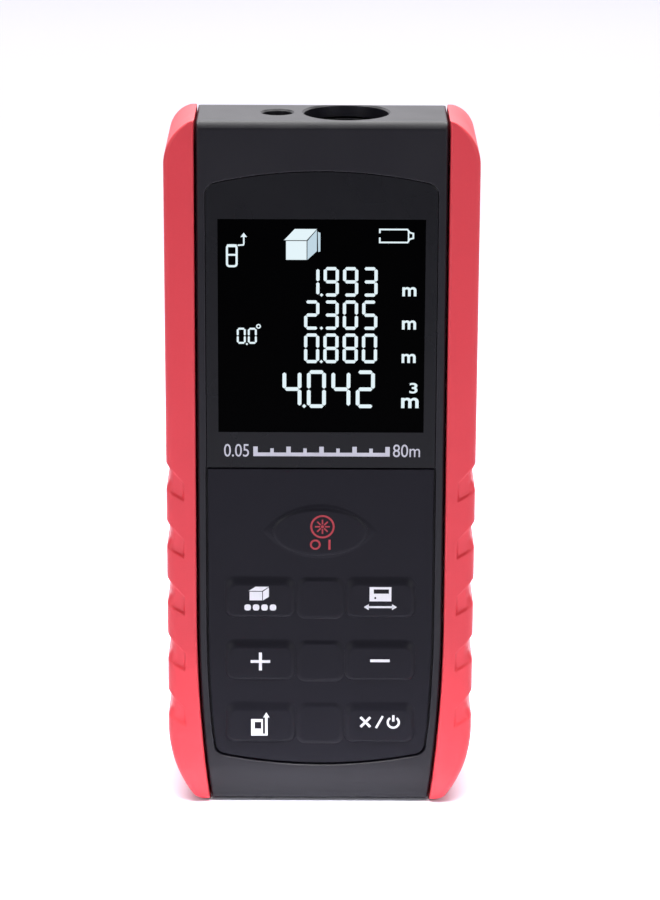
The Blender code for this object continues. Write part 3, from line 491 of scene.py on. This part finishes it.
def body_levels():
    """Heights close together where the outline turns."""
    foot = [HEEL_RADIUS * (1 - math.cos(math.radians(a))) for a in range(0, 91, 10)]
    foot += [EDGE_RADIUS * (1 - math.cos(math.radians(a))) for a in range(5, 91, 10)]
    chin = [2.9 + 0.45 * i for i in range(10)]
    taper = [8.0 + 3.0 * i for i in range(9)]
    shoulder = [TOP_Z - SHOULDER_RADIUS * (1 - math.cos(math.radians(a)))
                for a in range(24, 91, 4)]
    edge = [TOP_Z - TOP_EDGE * (1 - math.cos(math.radians(a))) for a in range(0, 91, 9)]
    side = [TOP_Z - SIDE_EDGE * (1 - math.cos(math.radians(a))) for a in range(15, 91, 15)]
    every = sorted(foot + chin + taper + shoulder + edge + side)
    spaced = [every[0]]
    for z in every[1:]:
        if z - spaced[-1] > 0.012:
            spaced.append(z)
    return spaced


def hollow():
    """The space inside the housing."""
    ceiling = TOP_Z - ROOF
    centre_z = TOP_Z - SHOULDER_RADIUS
    profile = ([(FRONT_INNER_Y, FLOOR_Z), (REAR_Y - WALL, FLOOR_Z)]
               + arc(REAR_Y - SHOULDER_RADIUS, centre_z, SHOULDER_RADIUS - WALL, 0, 78, 12)
               + [(REAR_Y - SHOULDER_RADIUS, ceiling), (LENS_BAY_Y, ceiling),
                  (LENS_BAY_Y, LENS_BAY_Z), (FRONT_INNER_Y, LENS_BAY_Z)])
    side = [(body_half(z) - SIDE_WALL, z) for z in (0.0, 8.0, 16.0, 24.0, TAPER_Z, LENGTH)]
    space = prism("Y", mirrored(side), FACE_Y, REAR_Y)
    return keep(space, prism("X", profile, -GRIP_OUT, GRIP_OUT))


def housing_shell(low_y, high_y):
    shell = loft("Z", [(z, body_section(z)) for z in body_levels()])
    cut(shell, hollow())
    return keep(shell, box((-GRIP_OUT, GRIP_OUT), (low_y, high_y), (-OVER, LENGTH + OVER)))


def flared(outline_of, gap, floor):
    """Cutter for a pocket in the front face, which leaves a rounded rim."""
    steps = [(FACE_Y + POCKET_RIM * (1 - math.cos(a)),
              outline_of(gap + POCKET_RIM * (1 - math.sin(a))))
             for a in map(math.radians, (0, 15, 30, 50, 70, 90))]
    return loft("Y", [(FACE_Y - OVER, steps[0][1])] + steps + [(floor, outline_of(gap))])


def lens_hole(name, radius):
    """Cutter through the roof above an optic, with a bevelled mouth."""
    low, high = node_box(name)
    centre = ((low.x + high.x) / 2, (low.y + high.y) / 2)
    mouth = radius + HOLE_BEVEL
    return turned("Z", centre, [(TOP_Z - ROOF - OVER, radius), (TOP_Z - HOLE_BEVEL, radius),
                                (TOP_Z, mouth), (TOP_Z + OVER, mouth)], 96)


def make_front_housing():
    shell = housing_shell(FACE_Y - OVER, PARTING_Y - FINE_GAP)
    lcd_low, lcd_high = node_box("lcd_panel")
    cut(shell, flared(panel_outline, 0.03, WINDOW_FLOOR),
        flared(lambda grow: clipped(panel_outline(grow), SPLIT_Z, False), FINE_GAP, MAT_FLOOR),
        box((lcd_low.x - GAP, lcd_high.x + GAP), (FACE_Y - OVER, FRONT_INNER_Y + OVER),
            (lcd_low.z - GAP, lcd_high.z + GAP)),
        prism("Y", clipped(panel_outline(-MAT_LEDGE), MAT_OPEN_TOP, False),
              FACE_Y - OVER, FRONT_INNER_Y + OVER),
        lens_hole("receiver_lens", RECEIVER_HOLE), lens_hole("emitter_window", EMITTER_HOLE))
    bosses = []
    for side in (-1, 1):
        for z, ends in ((SCREW_LOW_Z, LOW_BOSS_Y),
                        (SCREW_HIGH_Z, (FRONT_INNER_Y - GAP, HIGH_BOSS_END))):
            bosses.append(turned("Y", (side * SCREW_X, z), [(y, BOSS_RADIUS) for y in ends]))
    join(shell, *bosses)
    finish("housing_front", shell, LOOKS["black_abs"], stands_for=["front_housing"])


def door_outline(grow):
    """Back view of the battery door with its finger tongue."""
    half, low, high = door_high.x + grow, DOOR_LOW_Z - grow, DOOR_HIGH_Z + grow
    tongue, top, corner = TONGUE_HALF + grow, door_high.z + grow, DOOR_CORNER
    right = (arc(half - corner, low + corner, corner, -90, 0, 6)
             + arc(half - corner, high - corner, corner, 0, 90, 6)
             + [(tongue, high)] + arc(tongue - corner, top - corner, corner, 0, 90, 6))
    return mirrored([(0.0, low)] + right)


def make_rear_housing():
    shell = housing_shell(PARTING_Y + FINE_GAP, REAR_Y + OVER)
    top = node_box("battery_link")[1].z + GAP
    outer, ledge = BAY_HALF + BAY_WALL, DOOR_BACK_Y - GAP
    join(shell, box((-outer, outer), (BAY_FLOOR_Y - BAY_WALL, DOOR_BACK_Y - FINE_GAP),
                    (BAY_LOW_Z - BAY_END_WALL, top + BAY_END_WALL)),
         box((-LATCH_HALF, LATCH_HALF), (LATCH_Y, DOOR_BACK_Y - FINE_GAP), (top, LATCH_TOP_Z)))
    mouth = HEAD_HOLE + HOLE_BEVEL
    for side in (-1, 1):
        for z, start in ((SCREW_LOW_Z, LOW_POST_Y), (SCREW_HIGH_Z, HIGH_POST_Y)):
            place = (side * SCREW_X, z)
            join(shell, turned("Y", place, [(start, POST_RADIUS), (POST_END, POST_RADIUS)]))
            cut(shell,
                turned("Y", place, [(SCREW_SEAT_Y, HEAD_HOLE), (REAR_Y - HOLE_BEVEL, HEAD_HOLE),
                                    (REAR_Y, mouth), (REAR_Y + OVER, mouth)]),
                turned("Y", place, [(start - OVER, SHANK_HOLE), (SCREW_SEAT_Y + OVER, SHANK_HOLE)]))
    cut(shell, box((-BAY_HALF, BAY_HALF), (BAY_FLOOR_Y, REAR_Y), (BAY_LOW_Z, top)),
        loft("Y", [(ledge, door_outline(GAP)), (REAR_Y - BAY_RIM, door_outline(GAP)),
                   (REAR_Y, door_outline(GAP + BAY_RIM)),
                   (REAR_Y + OVER, door_outline(GAP + BAY_RIM))]))
    for side in (-1, 1):
        tab = sorted((side * TAB_SLOT_X, side * BAY_HALF))
        lead = sorted(side * x for x in LEAD_SLOT_X)
        cut(shell, box(tab, (TAB_SLOT_Y, ledge + TRIM), (TAB_SLOT_Z, BAY_LOW_Z + GAP)),
            box(lead, (BAY_FLOOR_Y - BAY_WALL - OVER, BAY_FLOOR_Y + 1.0),
                (BAY_LOW_Z + TRIM, LEAD_SLOT_TOP_Z)))
    finish("housing_rear", shell, LOOKS["black_abs"], stands_for=["rear_housing"])


def make_door():
    """Battery door with hooks at its foot and finger ridges at its tongue."""
    face = REAR_Y - DOOR_SINK
    door = loft("Y", [(DOOR_BACK_Y, door_outline(0.0)), (face - DOOR_RIM, door_outline(0.0)),
                      (face, door_outline(-DOOR_RIM))])
    root = DOOR_BACK_Y + 0.2
    hook = [(root, 10.2), (root, 11.6), (9.9, 11.6), (9.9, 8.6), (10.9, 8.6), (10.9, 10.2)]
    for side in (-1, 1):
        join(door, prism("X", hook, side * HOOK_X - HOOK_HALF, side * HOOK_X + HOOK_HALF))
    for i in range(RIDGE_COUNT):
        groove = circle(face, RIDGE_TOP_Z - RIDGE_PITCH * i, RIDGE_RADIUS, 20)
        cut(door, prism("X", groove, -RIDGE_HALF, RIDGE_HALF))
    finish("door_cover", door, LOOKS["black_abs"], "battery_door", ["battery_door"])


def make_lens():
    """Receiver lens with a smooth crown."""
    centre = ((lens_low.x + lens_high.x) / 2, (lens_low.y + lens_high.y) / 2)
    radius, edge_z = (lens_high.x - lens_low.x) / 2, lens_low.z + LENS_EDGE
    sag = lens_high.z - edge_z
    sphere = (radius ** 2 + sag ** 2) / (2 * sag)
    reach = math.degrees(math.asin(radius / sphere))
    crown = arc(0.0, lens_high.z - sphere, sphere, 90 - reach, 89.5, 14)
    steps = [(lens_low.z, radius)] + [(z, r) for r, z in crown]
    finish("receiver_lens_glass", turned("Z", centre, steps, 96), LOOKS["optical_glass"],
           stands_for=["receiver_lens"])


# ---------------------------------------------------------------- grips

def grip_ring(z):
    """Right grip at a height: (point, outward direction) pairs round its plan."""
    inner = body_half(z) + GAP
    if z > CROWN_Z:
        outer = GRIP_OUT - CROWN_RADIUS + math.sqrt(CROWN_RADIUS ** 2 - (z - CROWN_Z) ** 2)
        tuck = round_off(CROWN_TIP, LENGTH - z)
    else:
        drop = max(0.0, FOOT_Z - z)
        outer = GRIP_OUT - FOOT_RADIUS + math.sqrt(FOOT_RADIUS ** 2 - drop ** 2)
        tuck = round_off(FOOT_TIP, z)
    front = chin_y(z, GRIP_FRONT) + tuck
    rear = shoulder_y(z, GRIP_REAR, LENGTH, GRIP_SHOULDER) - tuck
    outer -= tuck
    edge = GRIP_EDGE_LOW + (GRIP_EDGE_TOP - GRIP_EDGE_LOW) * z / LENGTH
    edge = min(edge, 0.4 * (outer - inner))
    small = min(INNER_EDGE, 0.2 * (outer - inner))
    ring = []

    def turn(centre_x, centre_y, radius, start, end, steps):
        for i in range(steps + 1):
            a = math.radians(start + (end - start) * i / steps)
            way = (math.cos(a), math.sin(a))
            ring.append(((centre_x + radius * way[0], centre_y + radius * way[1]), way))

    def run(start, end, steps, way):
        for i in range(1, steps):
            share = i / steps
            ring.append(((start[0] + (end[0] - start[0]) * share,
                          start[1] + (end[1] - start[1]) * share), way))

    run((inner + small, front), (outer - edge, front), 34, (0, -1))
    turn(outer - edge, front + edge, edge, -90, 0, 9)
    run((outer, front + edge), (outer, rear - edge), 16, (1, 0))
    turn(outer - edge, rear - edge, edge, 0, 90, 9)
    run((outer - edge, rear), (inner + small, rear), 34, (0, 1))
    turn(inner + small, rear - small, small, 90, 180, 4)
    turn(inner + small, front + small, small, 180, 270, 4)
    return ring


def notch_depth(x, z, sideways):
    """Depth of a finger notch: a wedge on the front and rear, a soft dip on the outer side."""
    run = GRIP_OUT - x
    for i in range(NOTCH_COUNT):
        top = NOTCH_TOP - i * NOTCH_PITCH - run * NOTCH_TOP_SLOPE
        low = NOTCH_LOW - i * NOTCH_PITCH - run * NOTCH_LOW_SLOPE
        if low < z < top:
            fall = (top - z) / (top - low)
            wedge = (NOTCH_LIP + (1 - NOTCH_LIP) * fall) * ease((top - z) / WEDGE_STEP)
            wedge *= ease((z - low) / WEDGE_RAMP) * ease((x - NOTCH_INNER_X) / NOTCH_SIDE)
            dip = ease((top - z) / NOTCH_STEP) * ease((z - low) / NOTCH_RAMP)
            return WEDGE_DEPTH * wedge * (1 - sideways) + NOTCH_DEPTH * dip * sideways
    return 0.0


def grip_section(z):
    outline = []
    for (x, y), (way_x, way_y) in grip_ring(z):
        reach = x if way_x < 0.95 else GRIP_OUT
        dip = notch_depth(reach, z, max(0.0, way_x)) if way_x > -0.1 else 0.0
        outline.append((x - way_x * dip, y - way_y * dip))
    return outline


def make_grip(name, side):
    foot = [FOOT_TIP * (1 - math.cos(math.radians(a))) for a in range(0, 91, 9)]
    low = [FOOT_TIP + 0.6 * (i + 1) for i in range(10)]
    notches = [7.4 + 0.14 * i for i in range(380)]
    plain = [62.0 + 3.5 * i for i in range(11)]
    shoulder = [LENGTH - GRIP_SHOULDER * (1 - math.sin(math.radians(a))) for a in range(0, 76, 3)]
    tip = [LENGTH - CROWN_TIP * (1 - math.cos(math.radians(a))) for a in range(90, -1, -9)]
    levels = foot + low + notches + plain + shoulder + tip
    grip = loft("Z", [(z, grip_section(z)) for z in sorted(levels)])
    if side < 0:
        grip.data.transform(Matrix.Scale(-1, 4, Vector((1, 0, 0))))
        grip.data.flip_normals()
    finish(name + "_cover", grip, LOOKS["red_grip"], stands_for=[name], sharp=50)


# ---------------------------------------------------------------- display

def make_window():
    film = loft("Y", [(WINDOW_Y, window_outline(-FINE_GAP)),
                      (WINDOW_Y + SOFT_EDGE / 3, window_outline(-WINDOW_GAP - SOFT_EDGE / 5)),
                      (WINDOW_Y + SOFT_EDGE, window_outline(-WINDOW_GAP)),
                      (WINDOW_BACK, window_outline(-WINDOW_GAP))])
    cut(film, box((-SCREEN_HALF, SCREEN_HALF), (FACE_Y - OVER, WINDOW_BACK + OVER),
                  (SCREEN_LOW, SCREEN_HIGH)))
    finish("window_film", film, LOOKS["smoked_window"],
           stands_for=["display_window"])
    screen = box((-SCREEN_HALF, SCREEN_HALF), (WINDOW_Y, WINDOW_BACK), (SCREEN_LOW, SCREEN_HIGH))
    finish("screen_glass", screen, LOOKS["display_glass"])


def marks(name, outlines, surface, look, body="housing"):
    """Thin flat marks on a surface that faces the user."""
    plates = [prism("Y", outline, surface - PRINT, surface - PRINT_CLEAR) for outline in outlines]
    return finish(name, gather(*plates), look, body)


def stroke(points, width, closed=False):
    """Outlines of the straight pieces of a line, mitred where they meet."""
    count = len(points)
    left, right = [], []
    for i, point in enumerate(points):
        here = Vector(point)
        before = Vector(points[i - 1]) if i or closed else None
        after = Vector(points[(i + 1) % count]) if i < count - 1 or closed else None
        incoming = (here - before).normalized() if before is not None else None
        outgoing = (after - here).normalized() if after is not None else None
        incoming, outgoing = incoming or outgoing, outgoing or incoming
        normal = Vector((-(incoming + outgoing).y, (incoming + outgoing).x)).normalized()
        stretch = 1 / max(0.5, normal.dot(Vector((-outgoing.y, outgoing.x))))
        left.append(here + normal * width / 2 * stretch)
        right.append(here - normal * width / 2 * stretch)
    ends = range(count if closed else count - 1)
    return [[tuple(right[i]), tuple(right[(i + 1) % count]), tuple(left[(i + 1) % count]),
             tuple(left[i])] for i in ends]


SEGMENT_GAP, SEGMENT_POINT = 0.12, 0.8
SEGMENTS = {"0": "abcdef", "1": "bc", "2": "abged", "3": "abgcd", "4": "fgbc", "5": "afgcd",
            "8": "abcdefg", "9": "abcdfg"}


def digit(character, x, z, width, height, thick):
    """Lit segments of one seven-segment digit whose lower left corner is (x, z)."""
    half, gap = thick / 2, thick * SEGMENT_GAP
    left, right = x + half, x + width - half
    low, middle, high = z + half, z + height / 2, z + height - half
    ends = {"a": ((left, high), (right, high)), "b": ((right, high), (right, middle)),
            "c": ((right, middle), (right, low)), "d": ((left, low), (right, low)),
            "e": ((left, middle), (left, low)), "f": ((left, high), (left, middle)),
            "g": ((left, middle), (right, middle))}
    shapes = []
    for name in SEGMENTS[character]:
        start, end = Vector(ends[name][0]), Vector(ends[name][1])
        along = (end - start).normalized()
        across = Vector((-along.y, along.x)) * half
        start, end = start + along * gap, end - along * gap
        inset = along * half * SEGMENT_POINT
        shapes.append([tuple(p) for p in (start, start + inset - across, end - inset - across,
                                          end, end - inset + across, start + inset + across)])
    return shapes


def reading(text, x, z, width, height, pitch, thick):
    """A row of digits with a decimal point after the first."""
    shapes = []
    for i, character in enumerate(text.replace(".", "")):
        shapes += digit(character, x + i * pitch, z, width, height, thick)
    shapes.append(circle(x + (pitch + width) / 2, z + thick * 0.5, thick * 0.56, 4))
    return shapes


def lettering(text, left, base, height, width, weight=0.0):
    """Flat outlines of figures and units, fitted to a box; weight makes them bolder."""
    curve = bpy.data.curves.new("figures", "FONT")
    curve.body = text
    curve.offset = weight
    ready = linked("figures", curve)
    bpy.context.view_layer.update()
    mesh = bpy.data.meshes.new_from_object(ready.evaluated_get(
        bpy.context.evaluated_depsgraph_get()))
    bpy.data.objects.remove(ready)
    xs, ys = [v.co.x for v in mesh.vertices], [v.co.y for v in mesh.vertices]
    scale_x = width / (max(xs) - min(xs))
    scale_y = height / (max(ys) - min(ys))
    shapes = []
    for face in mesh.polygons:
        corners = [mesh.vertices[i].co for i in face.vertices]
        shapes.append([(left + (c.x - min(xs)) * scale_x, base + (c.y - min(ys)) * scale_y)
                       for c in corners])
    return shapes


def crate(left, base, width, height, skew_x, skew_z, overhang=0.13):
    """Open box seen from above its front corner: front, lid and side."""
    seam = 0.13
    right, top = left + width, base + height
    front = rectangle(left, right, base, top)
    lid = [(left - overhang, top + seam), (right, top + seam), (right + skew_x, top + skew_z),
           (left + skew_x * 0.95 - overhang / 2, top + skew_z)]
    side = [(right + seam, base), (right + skew_x, base + skew_z * 0.72),
            (right + skew_x, top + skew_z - seam), (right + seam, top)]
    return front, lid, side


def make_screen_marks():
    rows = [("1.993", 86.55, 4.82), ("2.305", 81.1, 4.82), ("0.880", 75.58, 4.9)]
    shapes = []
    for text, base, height in rows:
        shapes += reading(text, -2.75, base, 2.43, height, 3.08, 0.52)
        shapes += lettering("m", 12.85, base + 0.08, 1.5, 2.25, 0.022)
    shapes += reading("4.042", -6.2, 68.13, 3.05, 6.28, 3.92, 0.61)
    shapes += lettering("m", 12.85, 68.16, 1.72, 2.8, 0.022)
    shapes += lettering("3", 14.15, 70.6, 1.75, 1.3, 0.018)
    for x in (-13.49, -11.73):
        shapes += digit("0", x, 78.73, 1.44, 2.65, 0.32)
    shapes.append(circle(-11.88, 78.7, 0.2, 4))
    shapes += stroke(circle(-10.02, 81.62, 0.29, 16), 0.2, closed=True)
    marks("screen_digits", shapes, WINDOW_Y, LCD_LIGHT)

    device = stroke(rounded_rectangle(-15.0, -13.47, 91.45, 94.85, 0.4, 4), 0.34, closed=True)
    device += stroke([(-14.9, 93.3), (-13.5, 93.3)], 0.3)
    device += stroke([(-13.3, 94.85), (-12.4, 94.92), (-12.33, 95.1), (-12.33, 96.3)], 0.24)
    device.append([(-12.85, 96.2), (-11.81, 96.2), (-12.33, 96.9)])
    device.append(rectangle(-15.0, -13.47, 94.55, 95.0))
    battery = stroke([(9.2, 96.9), (9.2, 97.5), (13.55, 97.5), (13.95, 97.0), (14.5, 96.85),
                      (14.5, 96.1), (13.95, 95.95), (13.6, 95.4), (9.2, 95.4), (9.2, 96.2)], 0.26)
    battery += stroke([(13.75, 97.2), (13.75, 95.7)], 0.22)
    front, lid, side = crate(-5.64, 92.53, 3.26, 3.05, 1.62, 1.95, 0.32)
    flap = [(-0.62, 97.1), (-0.2, 96.9), (-0.2, 93.9), (-0.55, 93.8)]
    marks("screen_icons", device + battery + [front, lid], WINDOW_Y, LCD_LIGHT)
    marks("screen_icon_shade", [side, flap], WINDOW_Y, LCD_SHADE)


def make_ruler():
    """Range scale printed under the screen."""
    left, right, base, thick = -10.9, 11.1, 60.02, 0.62
    shapes = [rectangle(left, right, base, base + thick)]
    for i in range(9):
        tall = i % 2 == 0
        centre = left + 0.36 + (right - left - 0.72) * i / 8
        half, top = (0.36, 1.62) if tall else (0.28, 1.32)
        shapes.append(rectangle(centre - half, centre + half, base + thick, base + top))
    shapes += lettering("0.05", -15.6, 59.93, 2.12, 4.0)
    shapes += lettering("80m", 11.62, 59.93, 2.12, 4.35)
    marks("range_scale", shapes, WINDOW_Y, GREY_PRINT)


# ---------------------------------------------------------------- keypad

def oval(grow, sides=96):
    return [(OVAL_X + (OVAL_A + grow) * math.cos(math.radians(360 * i / sides)),
             OVAL_Z + (OVAL_B + grow) * math.sin(math.radians(360 * i / sides)))
            for i in range(sides)]


def eye(grow, steps=32):
    """Pointed oval round the measuring key."""
    half, rise = EYE_HALF + grow * 2, EYE_RISE + grow
    radius = (half ** 2 + rise ** 2) / (2 * rise)
    reach = math.degrees(math.asin(half / radius))
    upper = arc(OVAL_X, OVAL_Z + rise - radius, radius, 90 - reach, 90 + reach, steps)
    lower = arc(OVAL_X, OVAL_Z - rise + radius, radius, 270 - reach, 270 + reach, steps)
    return upper[:-1] + lower[:-1]


def key_base(x, z, grow=0.0):
    return rounded_rectangle(x - KEY_HALF - grow, x + KEY_HALF + grow,
                             z - KEY_DROP - grow, z + KEY_RISE + grow, KEY_CORNER + grow)


def key_face(x, z):
    half = KEY_HALF - KEY_SIDE
    return rounded_rectangle(x - half, x + half, z - FACE_DOWN, z + FACE_UP, FACE_CORNER)


def swell(base, face, level, top, steps=12, roll=0.0):
    """Sections that rise from one outline to a smaller one; roll rounds the lower edge more."""
    low, high = min(v for _, v in base), max(v for _, v in base)
    sections = []
    for i in range(steps + 1):
        outline = []
        for (base_u, base_v), (face_u, face_v) in zip(base, face):
            share = (i / steps) ** (1 + roll * ((high - base_v) / (high - low)) ** 3)
            outline.append((base_u + (face_u - base_u) * share, base_v + (face_v - base_v) * share))
        sections.append((level + (top - level) * ease(i / steps), outline))
    return sections


def key_places():
    """Name and centre of each oblong key, row by row."""
    names = (("key_menu", "key_units"), ("key_plus", "key_minus"), ("key_reference", "key_clear"))
    for row, pair in enumerate(names):
        for name, side in zip(pair, (-1, 1)):
            yield name, side * KEY_X, ROW_Z - row * ROW_PITCH


def make_mat():
    mat = loft("Y", [(MAT_Y, mat_outline(-FINE_GAP - SOFT_EDGE)),
                     (MAT_Y + SOFT_EDGE / 3, mat_outline(-FINE_GAP - SOFT_EDGE / 3)),
                     (MAT_Y + SOFT_EDGE, mat_outline(-FINE_GAP)),
                     (MAT_BACK, mat_outline(-FINE_GAP))])
    root = [(MAT_Y + EYE_ROOT, eye(0.0)), (MAT_Y - EYE_STEP, eye(0.0))]
    join(mat, loft("Y", root + swell(eye(0.0), eye(-EYE_SLOPE), MAT_Y, EYE_Y)[2:]))
    for outline in [key_base(x, z, SNUG) for _, x, z in key_places()] + [oval(SNUG)]:
        cut(mat, prism("Y", outline, FACE_Y - OVER, MAT_BACK + OVER))
    pads = []
    for row in range(3):
        z = ROW_Z - row * ROW_PITCH
        base = rounded_rectangle(-PAD_HALF, PAD_HALF, z - PAD_DOWN, z + PAD_UP, KEY_CORNER)
        face = rounded_rectangle(-PAD_HALF + KEY_SIDE, PAD_HALF - KEY_SIDE,
                                 z - PAD_DOWN + KEY_SIDE, z + PAD_UP - KEY_SIDE, PAD_CORNER)
        rise = swell(base, face, MAT_Y, PAD_Y, roll=ROLL)
        pads.append(loft("Y", [(MAT_Y + PAD_ROOT, base)] + rise))
    gather(mat, *pads)
    finish("keypad_skin", mat, LOOKS["keypad_silicone"],
           stands_for=["keypad_mat"])


def make_key(name, base, face, foot, top):
    """Key cap whose skirt reaches back to the rear face of the mat; foot is the level that it rises
    from.
    """
    cap = loft("Y", [(MAT_BACK, base)] + swell(base, face, foot, top, 16, ROLL))
    finish(name + "_cap", cap, LOOKS["keypad_silicone"], None, [name], 60)
    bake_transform(cap)


def bars(left, right, base, height, count):
    """Row of short rounded bars."""
    gap = 0.32
    width = (right - left - gap * (count - 1)) / count
    return [rounded_rectangle(left + i * (width + gap), left + i * (width + gap) + width,
                              base, base + height, min(height, width) * 0.35, 3)
            for i in range(count)]


def make_legends():
    for name, x, z in key_places():
        if name == "key_menu":
            front, lid, side = crate(x - 1.75, z - 0.1, 2.05, 1.5, 1.1, 0.85)
            shapes = [front, lid, side] + bars(x - 2.6, x + 2.6, z - 1.85, 1.05, 4)
        elif name == "key_units":
            shapes = [rectangle(x - 1.78, x + 1.78, z + 1.86, z + 2.25),
                      rectangle(x - 1.78, x - 1.1, z + 1.12, z + 1.86),
                      rectangle(x + 1.38, x + 1.78, z + 1.12, z + 1.86),
                      rectangle(x - 1.78, x + 1.78, z + 0.55, z + 1.12),
                      rectangle(x - 1.78, x - 0.98, z + 0.2, z + 0.55),
                      rectangle(x - 0.7, x + 1.78, z + 0.2, z + 0.55),
                      rectangle(x - 1.78, x + 1.78, z - 0.2, z + 0.2)]
            shapes += stroke([(x - 2.1, z - 1.2), (x + 2.1, z - 1.2)], 0.34)
            shapes += [[(x - 2.7, z - 1.2), (x - 1.9, z - 1.72), (x - 1.9, z - 0.68)],
                       [(x + 2.7, z - 1.2), (x + 1.9, z - 0.68), (x + 1.9, z - 1.72)]]
        elif name == "key_plus":
            shapes = [rectangle(x - 1.6, x + 1.6, z - 0.04, z + 0.44),
                      rectangle(x - 0.25, x + 0.25, z + 0.44, z + 1.75),
                      rectangle(x - 0.25, x + 0.25, z - 1.35, z - 0.04)]
        elif name == "key_minus":
            shapes = [rectangle(x - 1.6, x + 1.6, z + 0.16, z + 0.64)]
        elif name == "key_reference":
            shapes = [rectangle(x - 1.55, x + 0.4, z - 1.55, z - 0.66),
                      rectangle(x - 1.55, x - 0.95, z - 0.66, z + 0.5),
                      rectangle(x + 0.12, x + 0.4, z - 0.66, z + 0.5),
                      rectangle(x - 1.55, x + 0.4, z + 0.5, z + 1.02),
                      rectangle(x - 1.55, x + 1.18, z - 1.9, z - 1.55),
                      rectangle(x + 0.74, x + 1.18, z - 1.55, z + 1.3),
                      [(x + 0.42, z + 1.3), (x + 1.5, z + 1.3), (x + 0.96, z + 2.2)]]
        else:
            level = z + 0.55
            shapes = stroke([(x - 3.1, level - 0.85), (x - 1.5, level + 0.85)], 0.42)
            shapes += stroke([(x - 3.1, level + 0.85), (x - 2.36, level + 0.06)], 0.42)
            shapes += stroke([(x - 2.24, level - 0.06), (x - 1.5, level - 0.85)], 0.42)
            shapes += stroke([(x - 0.55, level - 1.05), (x + 0.55, level + 1.05)], 0.36)
            shapes += stroke(arc(x + 2.3, level - 0.05, 0.92, 125, 415, 20), 0.36)
            shapes += stroke([(x + 2.3, level + 0.1), (x + 2.3, level + 1.2)], 0.38)
        marks(name + "_legend", shapes, KEY_TOP_Y, WHITE_PRINT, name)

    x, burst_z, power_z = OVAL_X + 0.4, OVAL_Z + 0.9, OVAL_Z - 2.15
    shapes = stroke(circle(x, burst_z, 1.82, 40), 0.3, closed=True)
    for i in range(8):
        angle = math.radians(45 * i)
        ray, centre = Vector((math.cos(angle), math.sin(angle))), Vector((x, burst_z))
        shapes += stroke([tuple(centre + ray * 0.4), tuple(centre + ray * 1.2)], 0.24)
    shapes.append(circle(x, burst_z, 0.26, 12))
    shapes += stroke(circle(x - 1.15, power_z, 0.72, 28), 0.3, closed=True)
    shapes += stroke([(x + 1.15, power_z - 0.85), (x + 1.15, power_z + 0.85)], 0.34)
    marks("key_measure_legend", shapes, OVAL_TOP_Y, RED_PRINT, "key_measure")


# ---------------------------------------------------------------- studio

def area_light(name, place, size, power, target, spread_angle):
    lamp = bpy.data.lights.new(name, "AREA")
    lamp.spread = math.radians(spread_angle)
    lamp.shape = "RECTANGLE"
    lamp.size, lamp.size_y = size[0] * MM, size[1] * MM
    lamp.energy = power
    made = linked(name, lamp)
    made.location = Vector(place) * MM
    aim = Vector(target) * MM - made.location
    made.rotation_euler = aim.to_track_quat("-Z", "Y").to_euler()
    made.visible_camera = False


def make_studio():
    world = bpy.data.worlds.new("tent")
    bpy.context.scene.world = world
    world.use_nodes = True
    tree = world.node_tree
    tree.nodes["Background"].inputs["Color"].default_value = (0.96, 0.945, 1.0, 1.0)
    place = tree.nodes.new("ShaderNodeTexCoord")
    ways = tree.nodes.new("ShaderNodeSeparateXYZ")
    tree.links.new(place.outputs["Generated"], ways.inputs["Vector"])
    wall = tree.nodes.new("ShaderNodeMapRange")
    wall.inputs["From Min"].default_value, wall.inputs["From Max"].default_value = -0.35, 0.6
    wall.inputs["To Min"].default_value, wall.inputs["To Max"].default_value = TENT_FRONT, TENT_BACK
    tree.links.new(ways.outputs["Y"], wall.inputs["Value"])
    height = tree.nodes.new("ShaderNodeMapRange")
    height.inputs["From Min"].default_value, height.inputs["From Max"].default_value = 0.35, 0.85
    height.inputs["To Min"].default_value, height.inputs["To Max"].default_value = 1.0, TENT_TOP
    tree.links.new(ways.outputs["Z"], height.inputs["Value"])
    both = tree.nodes.new("ShaderNodeMath")
    both.operation = "MULTIPLY"
    tree.links.new(wall.outputs["Result"], both.inputs[0])
    tree.links.new(height.outputs["Result"], both.inputs[1])
    tree.links.new(both.outputs["Value"], tree.nodes["Background"].inputs["Strength"])

    floor = linked("floor", bpy.data.meshes.new("floor"))
    work = bmesh.new()
    reach = FLOOR_REACH * MM
    work.faces.new([work.verts.new((x * reach, y * reach, -FLOOR_DROP * MM))
                    for x, y in ((-1, -1), (1, -1), (1, 1), (-1, 1))])
    work.to_mesh(floor.data)
    work.free()
    paper, _, _ = principled("pale_floor", (0.88, 0.87, 0.98), 0.8, specular=0.2)
    floor.data.materials.append(paper)

    for lamp in LAMPS:
        area_light(*lamp)

    camera = linked("camera", bpy.data.cameras.new("camera"))
    camera.data.lens, camera.data.sensor_width = CAMERA_LENS, 36.0
    camera.data.shift_x, camera.data.shift_y = CAMERA_SHIFT
    pitch = math.radians(CAMERA_PITCH)
    middle = Vector((0, 0, LENGTH / 2)) * MM
    back = Vector((0, -math.cos(pitch), math.sin(pitch)))
    camera.location = middle + back * CAMERA_DISTANCE * MM
    camera.rotation_euler = (Matrix.Rotation(CAMERA_ROLL, 4, back)
                             @ (-back).to_track_quat("-Z", "Y").to_matrix().to_4x4()).to_euler()
    bpy.context.scene.camera = camera
    bpy.context.scene.view_settings.view_transform = "Standard"


dress_cad()
make_front_housing()
make_rear_housing()
make_door()
make_lens()
make_grip("grip_left", -1)
make_grip("grip_right", 1)
make_window()
make_screen_marks()
make_ruler()
make_mat()
make_key("key_measure", oval(0), oval(-OVAL_SLOPE), EYE_Y, OVAL_TOP_Y)
for key_name, key_x, key_z in key_places():
    make_key(key_name, key_base(key_x, key_z), key_face(key_x, key_z), MAT_Y, KEY_TOP_Y)
make_legends()
make_studio()
